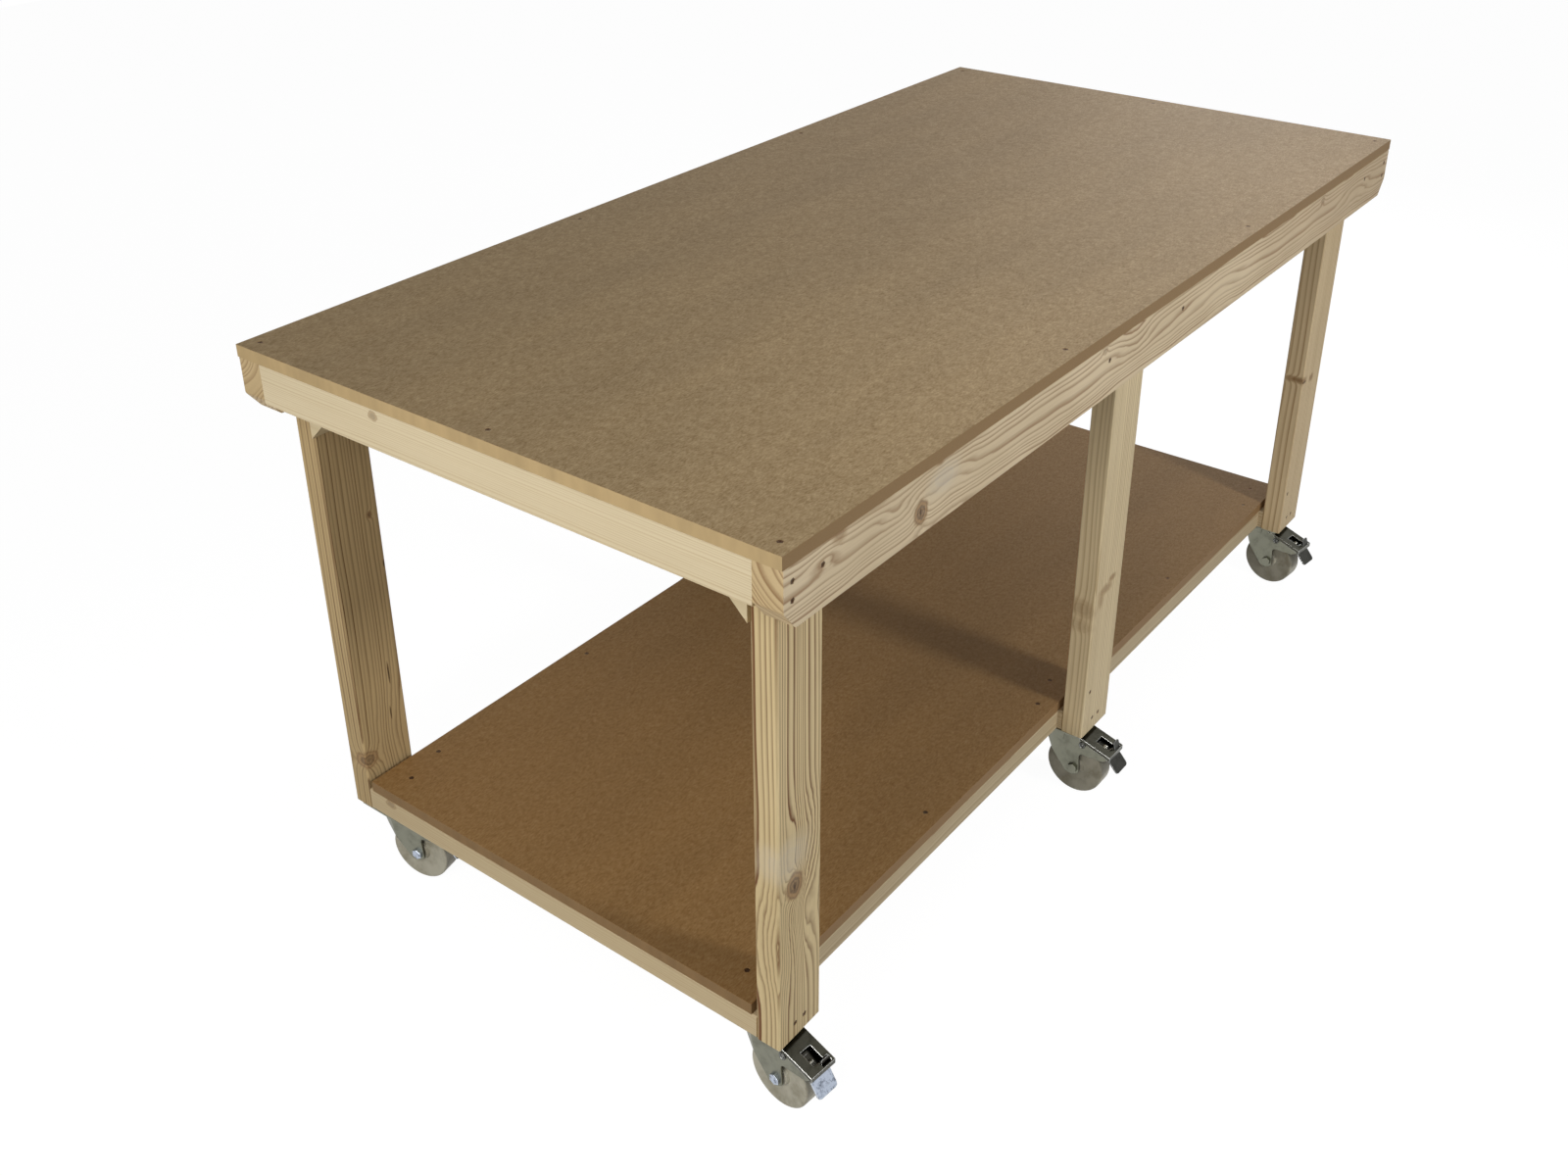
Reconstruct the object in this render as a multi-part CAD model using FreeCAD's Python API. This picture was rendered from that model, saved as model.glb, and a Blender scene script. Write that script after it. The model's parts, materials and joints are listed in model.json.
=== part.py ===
import FreeCAD, Part
import math
import os

# Rolling assembly table: board top on a timber frame, lower shelf, six braked swivel casters.
# Millimetres. X runs along the long side, -Y is the front, Z is up, floor at z = 0.

V = FreeCAD.Vector

# ---------------------------------------------------------------- driving dimensions
# Board top
TOP_LENGTH = 1830.0
TOP_WIDTH = 914.0
TOP_THICKNESS = 18.0

# Aprons under the board
LONG_APRON_THICKNESS = 42.0
LONG_APRON_HEIGHT = 83.0
APRON_END_LIP = 2.0
CLIP_RUN = 23.0
CLIP_RISE = 29.0
CLIP_ROUNDING = 7.0
END_APRON_THICKNESS = 38.0
END_APRON_HEIGHT = 61.0

# Legs and the timber they share with the cross rails
LEG_WIDTH = 87.0
LEG_THICKNESS = 37.5
LEG_LENGTH = 759.0
LEFT_LEG_INSET = 44.5
MIDDLE_LEG_OFFSET = 12.5
RIGHT_LEG_INSET = 55.0
ARRIS_CHAMFER = 2.0

# Corner blocks, cut from the same board as the end aprons
GUSSET_SIDE = 116.0
GUSSET_THICKNESS = 36.0

# Cross bearers between the long aprons
BEARER_LEFT_GAP = 105.0

# Lower shelf
SHELF_THICKNESS = 18.0
SHELF_RAIL_HEIGHT = 37.0
SHELF_RAIL_WIDTH = 50.0
SHELF_SETBACK = 8.0

# Wood screws
SCREW_HEAD_RADIUS = 4.2
SCREW_SHANK_RADIUS = 2.1
SCREW_HEAD_DEPTH = 2.6
SCREW_CLEARANCE = 0.15
SCREW_SINK = 0.6
BOARD_SCREW_LENGTH = 50.0
FRAME_SCREW_LENGTH = 75.0
SPARE_SCREW_LENGTH = 30.0
TOP_SCREW_SHIFT = 23.0
CORNER_SCREW_OFFSET = 3.0
APRON_SCREW_DROP = 20.5
APRON_SCREW_PITCH = 24.0
LEG_SCREW_SIDE_SHIFT = 15.5
LEG_SCREW_PITCH = 20.0
SHELF_SCREW_INSET = 49.0
SHELF_SCREW_END_GAP = 26.0
SPARE_SCREW_SIDE_SHIFT = 28.0
SPARE_SCREW_RISE = 84.0

# Caster, measured from the plate's upper face and the swivel axis
CASTER_HEIGHT = 128.0
CASTER_INSET = 98.5
CASTER_TRAIL = 38.0
PLATE_LENGTH = 104.0
PLATE_WIDTH = 80.0
PLATE_THICKNESS = 3.0
PLATE_CORNER = 9.0
PLATE_HOLE_LENGTH = 80.0
PLATE_HOLE_WIDTH = 58.0
PLATE_HOLE_RADIUS = 4.5
RACE_RADIUS = 26.0
RACE_DEPTH = 6.5
KINGPIN_RADIUS = 6.0
KINGPIN_HEAD_RADIUS = 11.0
KINGPIN_HEAD_DEPTH = 3.0
RUNNING_CLEARANCE = 0.1
SAFE_GAP = 0.3

# Coach screws that hold the plate
COACH_SHANK_RADIUS = 3.9
COACH_LENGTH = 32.0
COACH_HEAD_FLATS = 13.0
COACH_HEAD_DEPTH = 5.3

# Wheel
WHEEL_RADIUS = 50.0
WHEEL_WIDTH = 32.0
WHEEL_TREAD_ROUNDING = 3.0
WHEEL_DISH_DEPTH = 4.5
WHEEL_HUB_RADIUS = 14.0
WHEEL_HUB_FOOT = 2.0

# Fork, pressed from sheet
FORK_SHEET = 2.5
FORK_SIDE_GAP = 3.0
CROWN_RADIUS = 31.0
CROWN_THICKNESS = 3.0
CROWN_SKIRT_DEPTH = 47.0
CROWN_SKIRT_RADIUS = 22.5
FORK_BACK_TOP = 15.5
FORK_BACK_MIDDLE = 11.2
FORK_BACK_LOW = 2.5
FORK_BACK_STEP = 20.0
FORK_FRONT_LEAN = 1.5
FORK_LEG_REACH = 12.0
FORK_LEG_TOE = 14.0
FORK_TOE_SKEW = 1.0
FORK_TOE_TIP = 1.5
FORK_TOE_RISE = 6.0
FORK_TOE_ROUNDINGS = (8.0, 10.0, 6.0)
FORK_NOTCH_LEAN = 3.0
FORK_NOTCH_RADIUS = 6.0
FORK_BROW_DEPTH = 15.0
FORK_BROW_TAIL = 12.0
FORK_BROW_TAIL_RISE = 3.0
FORK_BROW_NOSE = 8.0
FORK_BROW_ROUNDING = 6.0
PRESSING_BEVEL = 2.0

# Axle
AXLE_RADIUS = 5.0
AXLE_HEAD_FLATS = 15.0
AXLE_HEAD_DEPTH = 5.0
AXLE_NUT_DEPTH = 6.5
AXLE_NUT_CHAMFER = 1.2

# Brake cover, fixed over the fork's two side plates
BRAKE_SHEET = 1.8
COVER_START = 33.5
COVER_BEND = 46.0
COVER_END = 102.5
COVER_TOP_DROP = 12.2
COVER_BEND_DROP = 13.0
COVER_END_DROP = 29.9
COVER_FLANGE = 4.0
COVER_LIP = 7.5
WINDOW_FROM_END = 9.5
WINDOW_LENGTH = 25.0
WINDOW_WIDTH = 19.0
WINDOW_SHIFT = 1.5

# Brake pedal, drawn in its raised position
PIVOT_OUT = 13.5
PIVOT_DROP = 26.0
PIVOT_RADIUS = 3.0
PIVOT_HEAD_RADIUS = 5.0
PIVOT_HEAD_DEPTH = 1.6
PIVOT_COLLAR = 2.2
PEDAL_TRAVEL = 7.0
PEDAL_UNDER_COVER = 5.0
PEDAL_DECK_END = 97.5
TONGUE_WIDTH = 37.0
TONGUE_CORNER = 5.0
TONGUE_START_OUT = 100.5
TONGUE_START_DROP = 41.0
TONGUE_LENGTH = 25.0
TONGUE_SLOPE = 48.0
TAB_WIDTH = 16.5
TAB_HEIGHT = 14.5
TAB_LEAN = 72.0
TAB_CORNER = 2.5
SHOE_RADIUS = 4.0
SHOE_WIDTH = 24.0
SHOE_OUT = 30.0

# How finely round pieces are drawn, in flat sides for a whole turn or steps for a corner
SCREW_SIDES = 5
COACH_SIDES = 5
PLATE_HOLE_SIDES = 5
RACE_SIDES = 8
CROWN_SIDES = 10
AXLE_SIDES = 10
WHEEL_SIDES = 20
PIVOT_SIDES = 7
CORNER_STEPS = 2

# Where each caster stands: turn about the swivel axis, shift along X, pedal pressed or not
CASTER_SETTINGS = {
    "front_left": {"swivel": -5.6, "shift": 0.0, "pressed": True},
    "front_middle": {"swivel": 0.0, "shift": -4.0, "pressed": False},
    "front_right": {"swivel": -6.8, "shift": 0.0, "pressed": False},
    "rear_left": {"swivel": 11.3, "shift": -2.5, "pressed": True},
    "rear_middle": {"swivel": 180.0, "shift": -4.0, "pressed": False},
    "rear_right": {"swivel": 184.0, "shift": 0.0, "pressed": False},
}

# ---------------------------------------------------------------- derived levels and places
HALF_LENGTH = TOP_LENGTH / 2
HALF_WIDTH = TOP_WIDTH / 2
LEG_BOTTOM = CASTER_HEIGHT
LEG_TOP = LEG_BOTTOM + LEG_LENGTH
TOP_SURFACE = LEG_TOP + TOP_THICKNESS
RAIL_TOP = LEG_BOTTOM + SHELF_RAIL_HEIGHT
SHELF_TOP = RAIL_TOP + SHELF_THICKNESS
LEG_OUTER_Y = HALF_WIDTH - LONG_APRON_THICKNESS
LEG_INNER_Y = LEG_OUTER_Y - LEG_THICKNESS
SHELF_EDGE_Y = LEG_INNER_Y - SHELF_SETBACK
APRON_END_X = HALF_LENGTH - APRON_END_LIP
END_APRON_INNER_X = APRON_END_X - END_APRON_THICKNESS
SWIVEL_Y = HALF_WIDTH - CASTER_INSET

LEG_CENTRES = {
    "left": -HALF_LENGTH + LEFT_LEG_INSET + LEG_WIDTH / 2,
    "middle": -MIDDLE_LEG_OFFSET,
    "right": HALF_LENGTH - RIGHT_LEG_INSET - LEG_WIDTH / 2,
}
SIDES = {"front": -1, "rear": 1}
BEARER_CENTRES = (
    LEG_CENTRES["middle"] - LEG_WIDTH / 2 - BEARER_LEFT_GAP - END_APRON_THICKNESS / 2,
    LEG_CENTRES["middle"] + LEG_WIDTH / 2 + END_APRON_THICKNESS / 2,
)

AXLE_LEVEL = WHEEL_RADIUS - CASTER_HEIGHT
CROWN_TOP = -PLATE_THICKNESS - RACE_DEPTH - SAFE_GAP
FORK_INNER = WHEEL_WIDTH / 2 + FORK_SIDE_GAP
FORK_OUTER = FORK_INNER + FORK_SHEET
PIVOT_Y = -CASTER_TRAIL - PIVOT_OUT
PIVOT_Z = -PIVOT_DROP
COVER_OUTER = FORK_OUTER + BRAKE_SHEET
COVER_FALL = math.atan2(COVER_END_DROP - COVER_BEND_DROP, COVER_END - COVER_BEND)
COVER_SHEET_DROP = BRAKE_SHEET / math.cos(COVER_FALL)
TAB_RIGHT = FORK_INNER - 2 * SAFE_GAP
TAB_OUTER_FACE = COVER_END - BRAKE_SHEET - 2 * SAFE_GAP


# ---------------------------------------------------------------- drawing helpers
def to_plane(plane, offset):
    """Return a function that lifts a flat point onto a plane at a signed offset."""
    lifts = {
        "xy": lambda a, b: V(a, b, offset),
        "xz": lambda a, b: V(a, offset, b),
        "yz": lambda a, b: V(offset, a, b),
    }
    return lifts[plane]


def softened(points, radii):
    """Flat outline with each corner replaced by short edges that follow its rounding."""
    count = len(points)
    if not isinstance(radii, (list, tuple)):
        radii = [radii] * count
    outline = []
    for index, radius in enumerate(radii):
        here = V(*points[index], 0)
        into = (V(*points[index - 1], 0) - here).normalize()
        out = (V(*points[(index + 1) % count], 0) - here).normalize()
        if radius <= 0:
            outline.append((here.x, here.y))
            continue
        half = into.getAngle(out) / 2
        centre = here + (into + out).normalize() * (radius / math.sin(half))
        first = here + into * (radius / math.tan(half)) - centre
        turn = math.pi - 2 * half
        turn = turn if into.cross(out).z < 0 else -turn
        for step in range(CORNER_STEPS + 1):
            angle = math.atan2(first.y, first.x) + turn * step / CORNER_STEPS
            outline.append((centre.x + radius * math.cos(angle), centre.y + radius * math.sin(angle)))
    return outline


def prism(points, radii, plane, start, stop):
    """Solid with a softened flat outline, from one offset to another along the plane's normal."""
    normals = {"xy": V(0, 0, 1), "xz": V(0, 1, 0), "yz": V(1, 0, 0)}
    lift = to_plane(plane, start)
    corners = [lift(a, b) for a, b in softened(points, radii)]
    face = Part.Face(Part.makePolygon(corners + corners[:1]))
    return face.extrude(normals[plane] * (stop - start))


def rectangle(a0, a1, b0, b1):
    """Corner points of an upright rectangle."""
    return [(a0, b0), (a1, b0), (a1, b1), (a0, b1)]


def box(x0, x1, y0, y1, z0, z1):
    """Plain box between three pairs of limits."""
    return Part.makeBox(x1 - x0, y1 - y0, z1 - z0, V(x0, y0, z0))


def turned(points, sides, base, axis):
    """Many-sided solid from a closed profile of (radius, height) points about an axis."""
    rings = []
    for radius, height in points:
        angles = [2 * math.pi * k / sides for k in range(sides)]
        rings.append([V(radius * math.cos(a), radius * math.sin(a), height) for a in angles])
    faces = []
    for index, (radius, height) in enumerate(points):
        after = (index + 1) % len(points)
        next_radius, next_height = points[after]
        if radius == 0 and next_radius == 0:
            continue
        if (radius == 0 or next_radius == 0) and height == next_height:
            rim = rings[index] if radius else rings[after]
            faces.append(Part.Face(Part.makePolygon(rim + rim[:1])))
            continue
        for k in range(sides):
            along = (k + 1) % sides
            corners = [rings[index][k], rings[index][along]] if radius else [rings[index][k]]
            corners += [rings[after][along], rings[after][k]] if next_radius else [rings[after][k]]
            faces.append(Part.Face(Part.makePolygon(corners + corners[:1])))
    solid = Part.makeSolid(Part.makeShell(faces))
    if solid.Volume < 0:
        solid.reverse()
    solid.Placement = FreeCAD.Placement(V(*base), FreeCAD.Rotation(V(0, 0, 1), V(*axis)))
    return solid


def around(radius, sides):
    """Corner radius of a many-sided bore whose flats stand at a given radius."""
    return radius / math.cos(math.pi / sides)


def hexagon(flats, base, axis, depth, chamfer=0.0):
    """Hexagonal head or nut standing on a base point, its outer corners eased."""
    radius = around(flats / 2, 6)
    profile = [(0, 0), (radius, 0), (radius, depth - chamfer / 2)]
    if chamfer:
        profile.append((radius - chamfer, depth))
    profile.append((0, depth))
    return turned(profile, 6, base, axis)


def timber(length_axis, start, stop, a0, a1, b0, b1):
    """Sawn timber with eased arrises, its section given in the two other axes in order."""
    planes = {"x": "yz", "y": "xz", "z": "xy"}
    ease = ARRIS_CHAMFER
    section = [
        (a0 + ease, b0), (a1 - ease, b0), (a1, b0 + ease), (a1, b1 - ease),
        (a1 - ease, b1), (a0 + ease, b1), (a0, b1 - ease), (a0, b0 + ease),
    ]
    return prism(section, 0, planes[length_axis], start, stop)


def cut_all(solid, tools):
    """Subtract those tools whose boxes reach the solid."""
    reach = [tool for tool in tools if tool.BoundBox.intersect(solid.BoundBox)]
    return solid.cut(reach) if reach else solid


# ---------------------------------------------------------------- wood screws
def screw(seat, length):
    """One countersunk screw, sunk just below the face it enters."""
    point, direction = seat
    base = V(*point) + V(*direction) * SCREW_SINK
    profile = [
        (0, 0), (SCREW_HEAD_RADIUS, 0), (SCREW_SHANK_RADIUS, SCREW_HEAD_DEPTH), (0, length),
    ]
    return turned(profile, SCREW_SIDES, tuple(base), direction)


def screw_hole(seat, length):
    """The countersunk pilot hole for one screw, open to the face above its head."""
    point, direction = seat
    mouth = SCREW_HEAD_RADIUS + SCREW_CLEARANCE
    neck = SCREW_SHANK_RADIUS + SCREW_CLEARANCE
    flare = (mouth - neck) * SCREW_SINK / SCREW_HEAD_DEPTH
    profile = [
        (0, 0), (mouth + flare, 0), (neck, SCREW_HEAD_DEPTH + SCREW_SINK),
        (0, length * mouth / SCREW_HEAD_RADIUS + SCREW_SINK),
    ]
    return turned(profile, SCREW_SIDES, point, direction)


def top_screw_seats():
    """Screws down through the board into the long and end aprons."""
    x_end = APRON_END_X - END_APRON_THICKNESS / 2 - CORNER_SCREW_OFFSET
    y_side = HALF_WIDTH - LONG_APRON_THICKNESS / 2
    pitch = 2 * x_end / 3
    places = [-x_end, -pitch / 2 + TOP_SCREW_SHIFT, pitch / 2 + TOP_SCREW_SHIFT, x_end]
    points = [(x, side * y_side) for x in places for side in SIDES.values()]
    points += [(-x_end, 0), (x_end, 0)]
    return [((x, y, TOP_SURFACE), (0, 0, -1)) for x, y in points]


def shelf_screw_seats():
    """Screws down through the shelf into the cross rails and the long rails."""
    points = []
    rail_y = SHELF_EDGE_Y - SHELF_RAIL_WIDTH / 2
    for side in SIDES.values():
        for centre in LEG_CENTRES.values():
            points.append((centre, side * (LEG_INNER_Y - SHELF_SCREW_INSET)))
        for start, stop in shelf_bays():
            first = start + SHELF_SCREW_END_GAP
            last = stop - SHELF_SCREW_END_GAP
            points += [(x, side * rail_y) for x in (first, (first + last) / 2, last)]
    return [((x, y, SHELF_TOP), (0, 0, -1)) for x, y in points]


def apron_screw_seats():
    """Screws through the long aprons into end aprons, end legs and bearers."""
    seats = []
    upper = LEG_TOP - APRON_SCREW_DROP
    middle = upper - APRON_SCREW_PITCH / 4
    x_end = APRON_END_X - END_APRON_THICKNESS / 2 + CORNER_SCREW_OFFSET
    for side in SIDES.values():
        face = side * HALF_WIDTH
        inward = (0, -side, 0)
        for x in (-x_end, x_end):
            seats.append(((x, face, upper), inward))
            seats.append(((x, face, upper - APRON_SCREW_PITCH), inward))
        for name in ("left", "right"):
            x = LEG_CENTRES[name] - LEG_SCREW_SIDE_SHIFT
            seats.append(((x, face, middle), inward))
        seats += [((x, face, middle), inward) for x in BEARER_CENTRES]
    return seats


def leg_screw_seats():
    """Screws through the legs into the end grain of the cross rails, and two spare ones."""
    seats = []
    level = (LEG_BOTTOM + RAIL_TOP) / 2 + SCREW_HEAD_RADIUS
    for side in SIDES.values():
        for centre in LEG_CENTRES.values():
            for shift in (-LEG_SCREW_PITCH / 2, LEG_SCREW_PITCH / 2):
                seats.append(((centre + shift, side * LEG_OUTER_Y, level), (0, -side, 0)))
    return seats


def spare_screw_seats():
    """Short screws left in two front legs above the shelf."""
    level = LEG_BOTTOM + SPARE_SCREW_RISE
    places = [LEG_CENTRES[name] - SPARE_SCREW_SIDE_SHIFT for name in ("middle", "right")]
    return [((x, -LEG_OUTER_Y, level), (0, 1, 0)) for x in places]


def shelf_bays():
    """X limits of the spans between neighbouring cross rails."""
    centres = list(LEG_CENTRES.values())
    half = LEG_WIDTH / 2
    return [(a + half, b - half) for a, b in zip(centres, centres[1:])]


# ---------------------------------------------------------------- timber frame
def make_tabletop():
    """Board top with sharp sawn edges."""
    return box(-HALF_LENGTH, HALF_LENGTH, -HALF_WIDTH, HALF_WIDTH, LEG_TOP, TOP_SURFACE)


def make_long_apron(side):
    """Long apron with its two lower corners clipped and rounded."""
    low = LEG_TOP - LONG_APRON_HEIGHT
    outline = [
        (-APRON_END_X, LEG_TOP),
        (-APRON_END_X, low + CLIP_RISE),
        (-APRON_END_X + CLIP_RUN, low),
        (APRON_END_X - CLIP_RUN, low),
        (APRON_END_X, low + CLIP_RISE),
        (APRON_END_X, LEG_TOP),
    ]
    radii = [0, CLIP_ROUNDING, CLIP_ROUNDING, CLIP_ROUNDING, CLIP_ROUNDING, 0]
    near, far = sorted((side * HALF_WIDTH, side * LEG_OUTER_Y))
    board = prism(outline, radii, "xz", near, far)
    eased = timber("x", -APRON_END_X, APRON_END_X, near, far, low, LEG_TOP)
    return board.common(eased)


def make_cross_board(centre):
    """End apron or bearer, standing between the long aprons."""
    half = END_APRON_THICKNESS / 2
    low = LEG_TOP - END_APRON_HEIGHT
    return timber("y", -LEG_OUTER_Y, LEG_OUTER_Y, centre - half, centre + half, low, LEG_TOP)


def make_leg(centre, side):
    """Leg from caster plate to board, its wide face to the front."""
    near, far = sorted((side * LEG_OUTER_Y, side * LEG_INNER_Y))
    half = LEG_WIDTH / 2
    return timber("z", LEG_BOTTOM, LEG_TOP, centre - half, centre + half, near, far)


def make_gusset(end, side):
    """Triangular corner block behind an end apron, against the leg and the board."""
    inner = side * LEG_INNER_Y
    outline = [(inner, LEG_TOP), (inner, LEG_TOP - GUSSET_SIDE), (inner - side * GUSSET_SIDE, LEG_TOP)]
    start, stop = sorted((end * END_APRON_INNER_X, end * (END_APRON_INNER_X - GUSSET_THICKNESS)))
    return prism(outline, 0, "yz", start, stop)


def make_cross_rail(centre):
    """Flat cross rail between a front leg and a rear leg."""
    half = LEG_WIDTH / 2
    return timber("y", -LEG_INNER_Y, LEG_INNER_Y, centre - half, centre + half, LEG_BOTTOM, RAIL_TOP)


def make_long_rail(bay, side):
    """Flat long rail between two cross rails, under the shelf's edge."""
    near, far = sorted((side * SHELF_EDGE_Y, side * (SHELF_EDGE_Y - SHELF_RAIL_WIDTH)))
    return timber("x", bay[0], bay[1], near, far, LEG_BOTTOM, RAIL_TOP)


def make_shelf():
    """Shelf board, from the outer faces of the end legs, clear of their inner faces."""
    left = LEG_CENTRES["left"] - LEG_WIDTH / 2
    right = LEG_CENTRES["right"] + LEG_WIDTH / 2
    return box(left, right, -SHELF_EDGE_Y, SHELF_EDGE_Y, RAIL_TOP, SHELF_TOP)


# ---------------------------------------------------------------- caster, in its own frame
# The swivel axis is Z, the plate's upper face is z = 0, the wheel trails towards -Y.
def plate_hole_points():
    """Centres of the four plate holes."""
    return [
        (sx * PLATE_HOLE_WIDTH / 2, sy * PLATE_HOLE_LENGTH / 2)
        for sx in (-1, 1) for sy in (-1, 1)
    ]


def make_plate():
    """Top plate with its pressed ball race and the riveted kingpin."""
    outline = rectangle(-PLATE_WIDTH / 2, PLATE_WIDTH / 2, -PLATE_LENGTH / 2, PLATE_LENGTH / 2)
    plate = prism(outline, PLATE_CORNER, "xy", -PLATE_THICKNESS, 0)
    hole = around(PLATE_HOLE_RADIUS, PLATE_HOLE_SIDES)
    profile = [(0, -PLATE_THICKNESS), (hole, -PLATE_THICKNESS), (hole, 0), (0, 0)]
    holes = [turned(profile, PLATE_HOLE_SIDES, (x, y, 0), (0, 0, 1)) for x, y in plate_hole_points()]
    race_end = -PLATE_THICKNESS - RACE_DEPTH
    head_top = CROWN_TOP - CROWN_THICKNESS - SAFE_GAP
    head_low = head_top - KINGPIN_HEAD_DEPTH
    profile = [
        (0, -PLATE_THICKNESS), (RACE_RADIUS, -PLATE_THICKNESS), (RACE_RADIUS - PRESSING_BEVEL, race_end),
        (KINGPIN_RADIUS, race_end), (KINGPIN_RADIUS, head_top), (KINGPIN_HEAD_RADIUS, head_top),
        (KINGPIN_HEAD_RADIUS - PRESSING_BEVEL, head_low), (0, head_low),
    ]
    race = turned(profile, RACE_SIDES, (0, 0, 0), (0, 0, 1))
    return plate.cut(holes).fuse(race).removeSplitter()


def under_cover(out, gap):
    """Height of a line that runs a gap below the cover's sloping sheet, at a reach outward."""
    fall = (out - COVER_BEND) * math.tan(COVER_FALL)
    return -COVER_BEND_DROP - fall - COVER_SHEET_DROP - gap


def fork_outline():
    """Side view of the fork as (y, z) points: leg, notch, brow under the cover, crown."""
    axle_y = -CASTER_TRAIL
    toe = AXLE_LEVEL - FORK_LEG_TOE
    leg_front = axle_y - FORK_LEG_REACH + FORK_TOE_SKEW
    crown_low = CROWN_TOP - CROWN_THICKNESS
    brow_end = COVER_END - BRAKE_SHEET
    brow_low = under_cover(COVER_END, 0) - FORK_BROW_DEPTH
    return [
        (FORK_BACK_TOP, CROWN_TOP),
        (FORK_BACK_MIDDLE, crown_low - FORK_BACK_STEP),
        (FORK_BACK_LOW, AXLE_LEVEL + FORK_BACK_STEP),
        (axle_y + FORK_LEG_REACH + FORK_TOE_SKEW, toe + FORK_TOE_SKEW),
        (axle_y + FORK_TOE_TIP, toe - FORK_TOE_TIP),
        (leg_front, toe + FORK_TOE_RISE),
        (leg_front + FORK_NOTCH_LEAN, brow_low),
        (-brow_end + FORK_BROW_TAIL, brow_low + FORK_BROW_TAIL_RISE),
        (-brow_end, brow_low + FORK_BROW_TAIL_RISE + FORK_BROW_NOSE),
        (-brow_end, under_cover(brow_end, 0)),
        (-COVER_BEND, under_cover(COVER_BEND, 0)),
        (-COVER_START, -COVER_TOP_DROP - COVER_SHEET_DROP),
        (-COVER_START + FORK_FRONT_LEAN, CROWN_TOP),
    ]


def make_fork():
    """Pressed fork: a round crown that draws down into two side plates."""
    radii = [0, 0, 0, *FORK_TOE_ROUNDINGS, FORK_NOTCH_RADIUS, 0, FORK_BROW_ROUNDING, 0, 0, 0, 0]
    side_view = prism(fork_outline(), radii, "yz", -CROWN_RADIUS, CROWN_RADIUS)
    toe = AXLE_LEVEL - FORK_LEG_TOE

    def shell(inset):
        top = CROWN_TOP - (CROWN_THICKNESS if inset else 0)
        low = CROWN_TOP - CROWN_SKIRT_DEPTH
        profile = [(0, low), (CROWN_SKIRT_RADIUS - inset, low), (CROWN_RADIUS - inset, top), (0, top)]
        skirt = turned(profile, CROWN_SIDES, (0, 0, 0), (0, 0, 1))
        cheeks = box(
            -FORK_OUTER + inset, FORK_OUTER - inset,
            -2 * COVER_END, CROWN_RADIUS / 2, 2 * toe, top,
        )
        return skirt.fuse(cheeks)

    walls = shell(0).cut(shell(FORK_SHEET)).common(side_view)
    crown_low = CROWN_TOP - CROWN_THICKNESS
    disc = [(0, crown_low), (CROWN_RADIUS, crown_low), (CROWN_RADIUS, CROWN_TOP), (0, CROWN_TOP)]
    crown = turned(disc, CROWN_SIDES, (0, 0, 0), (0, 0, 1))
    bore = around(KINGPIN_RADIUS + RUNNING_CLEARANCE, RACE_SIDES)
    low, high = CROWN_TOP - 2 * CROWN_THICKNESS, CROWN_TOP + CROWN_THICKNESS
    king_hole = turned([(0, low), (bore, low), (bore, high), (0, high)], RACE_SIDES, (0, 0, 0), (0, 0, 1))
    return walls.fuse(crown).cut(king_hole).fuse(make_pivots()).removeSplitter()


def make_pivots():
    """Two rivets through the side plates that carry the brake pedal."""
    profile = [
        (0, 0), (PIVOT_HEAD_RADIUS, 0), (PIVOT_HEAD_RADIUS - PIVOT_HEAD_DEPTH / 2, PIVOT_HEAD_DEPTH),
        (0, PIVOT_HEAD_DEPTH),
    ]
    rivets = []
    pin = [(0, 0), (PIVOT_RADIUS, 0), (PIVOT_RADIUS, PIVOT_COLLAR), (0, PIVOT_COLLAR)]
    for side in (-1, 1):
        rivets.append(turned(profile, PIVOT_SIDES, (side * FORK_OUTER, PIVOT_Y, PIVOT_Z), (side, 0, 0)))
        rivets.append(turned(pin, PIVOT_SIDES, (side * FORK_INNER, PIVOT_Y, PIVOT_Z), (-side, 0, 0)))
    return rivets


def make_wheel():
    """Moulded wheel: rounded tread, faces that fall in towards a hub bored for the axle."""
    half = WHEEL_WIDTH / 2
    bore = around(AXLE_RADIUS + RUNNING_CLEARANCE, WHEEL_SIDES)
    rounding = WHEEL_TREAD_ROUNDING
    side = [
        (bore, half), (WHEEL_HUB_RADIUS, half),
        (WHEEL_HUB_RADIUS + WHEEL_HUB_FOOT, half - WHEEL_DISH_DEPTH),
        (WHEEL_RADIUS - rounding, half), (WHEEL_RADIUS, half - rounding),
    ]
    profile = side + [(radius, -height) for radius, height in reversed(side)]
    return turned(profile, WHEEL_SIDES, (0, -CASTER_TRAIL, AXLE_LEVEL), (1, 0, 0))


def axle_shank(reach):
    """The axle's own round body, reaching equally far to both sides of the fork."""
    profile = [(0, -reach), (AXLE_RADIUS, -reach), (AXLE_RADIUS, reach), (0, reach)]
    return turned(profile, AXLE_SIDES, (0, -CASTER_TRAIL, AXLE_LEVEL), (1, 0, 0))


def make_axle():
    """Axle bolt between the side plates, with its head and nut on their outer faces."""
    centre = (-CASTER_TRAIL, AXLE_LEVEL)
    head = hexagon(AXLE_HEAD_FLATS, (-FORK_OUTER, *centre), (-1, 0, 0), AXLE_HEAD_DEPTH, AXLE_NUT_CHAMFER)
    nut = hexagon(AXLE_HEAD_FLATS, (FORK_OUTER, *centre), (1, 0, 0), AXLE_NUT_DEPTH, AXLE_NUT_CHAMFER)
    return axle_shank(FORK_OUTER).fuse([head, nut])


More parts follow.
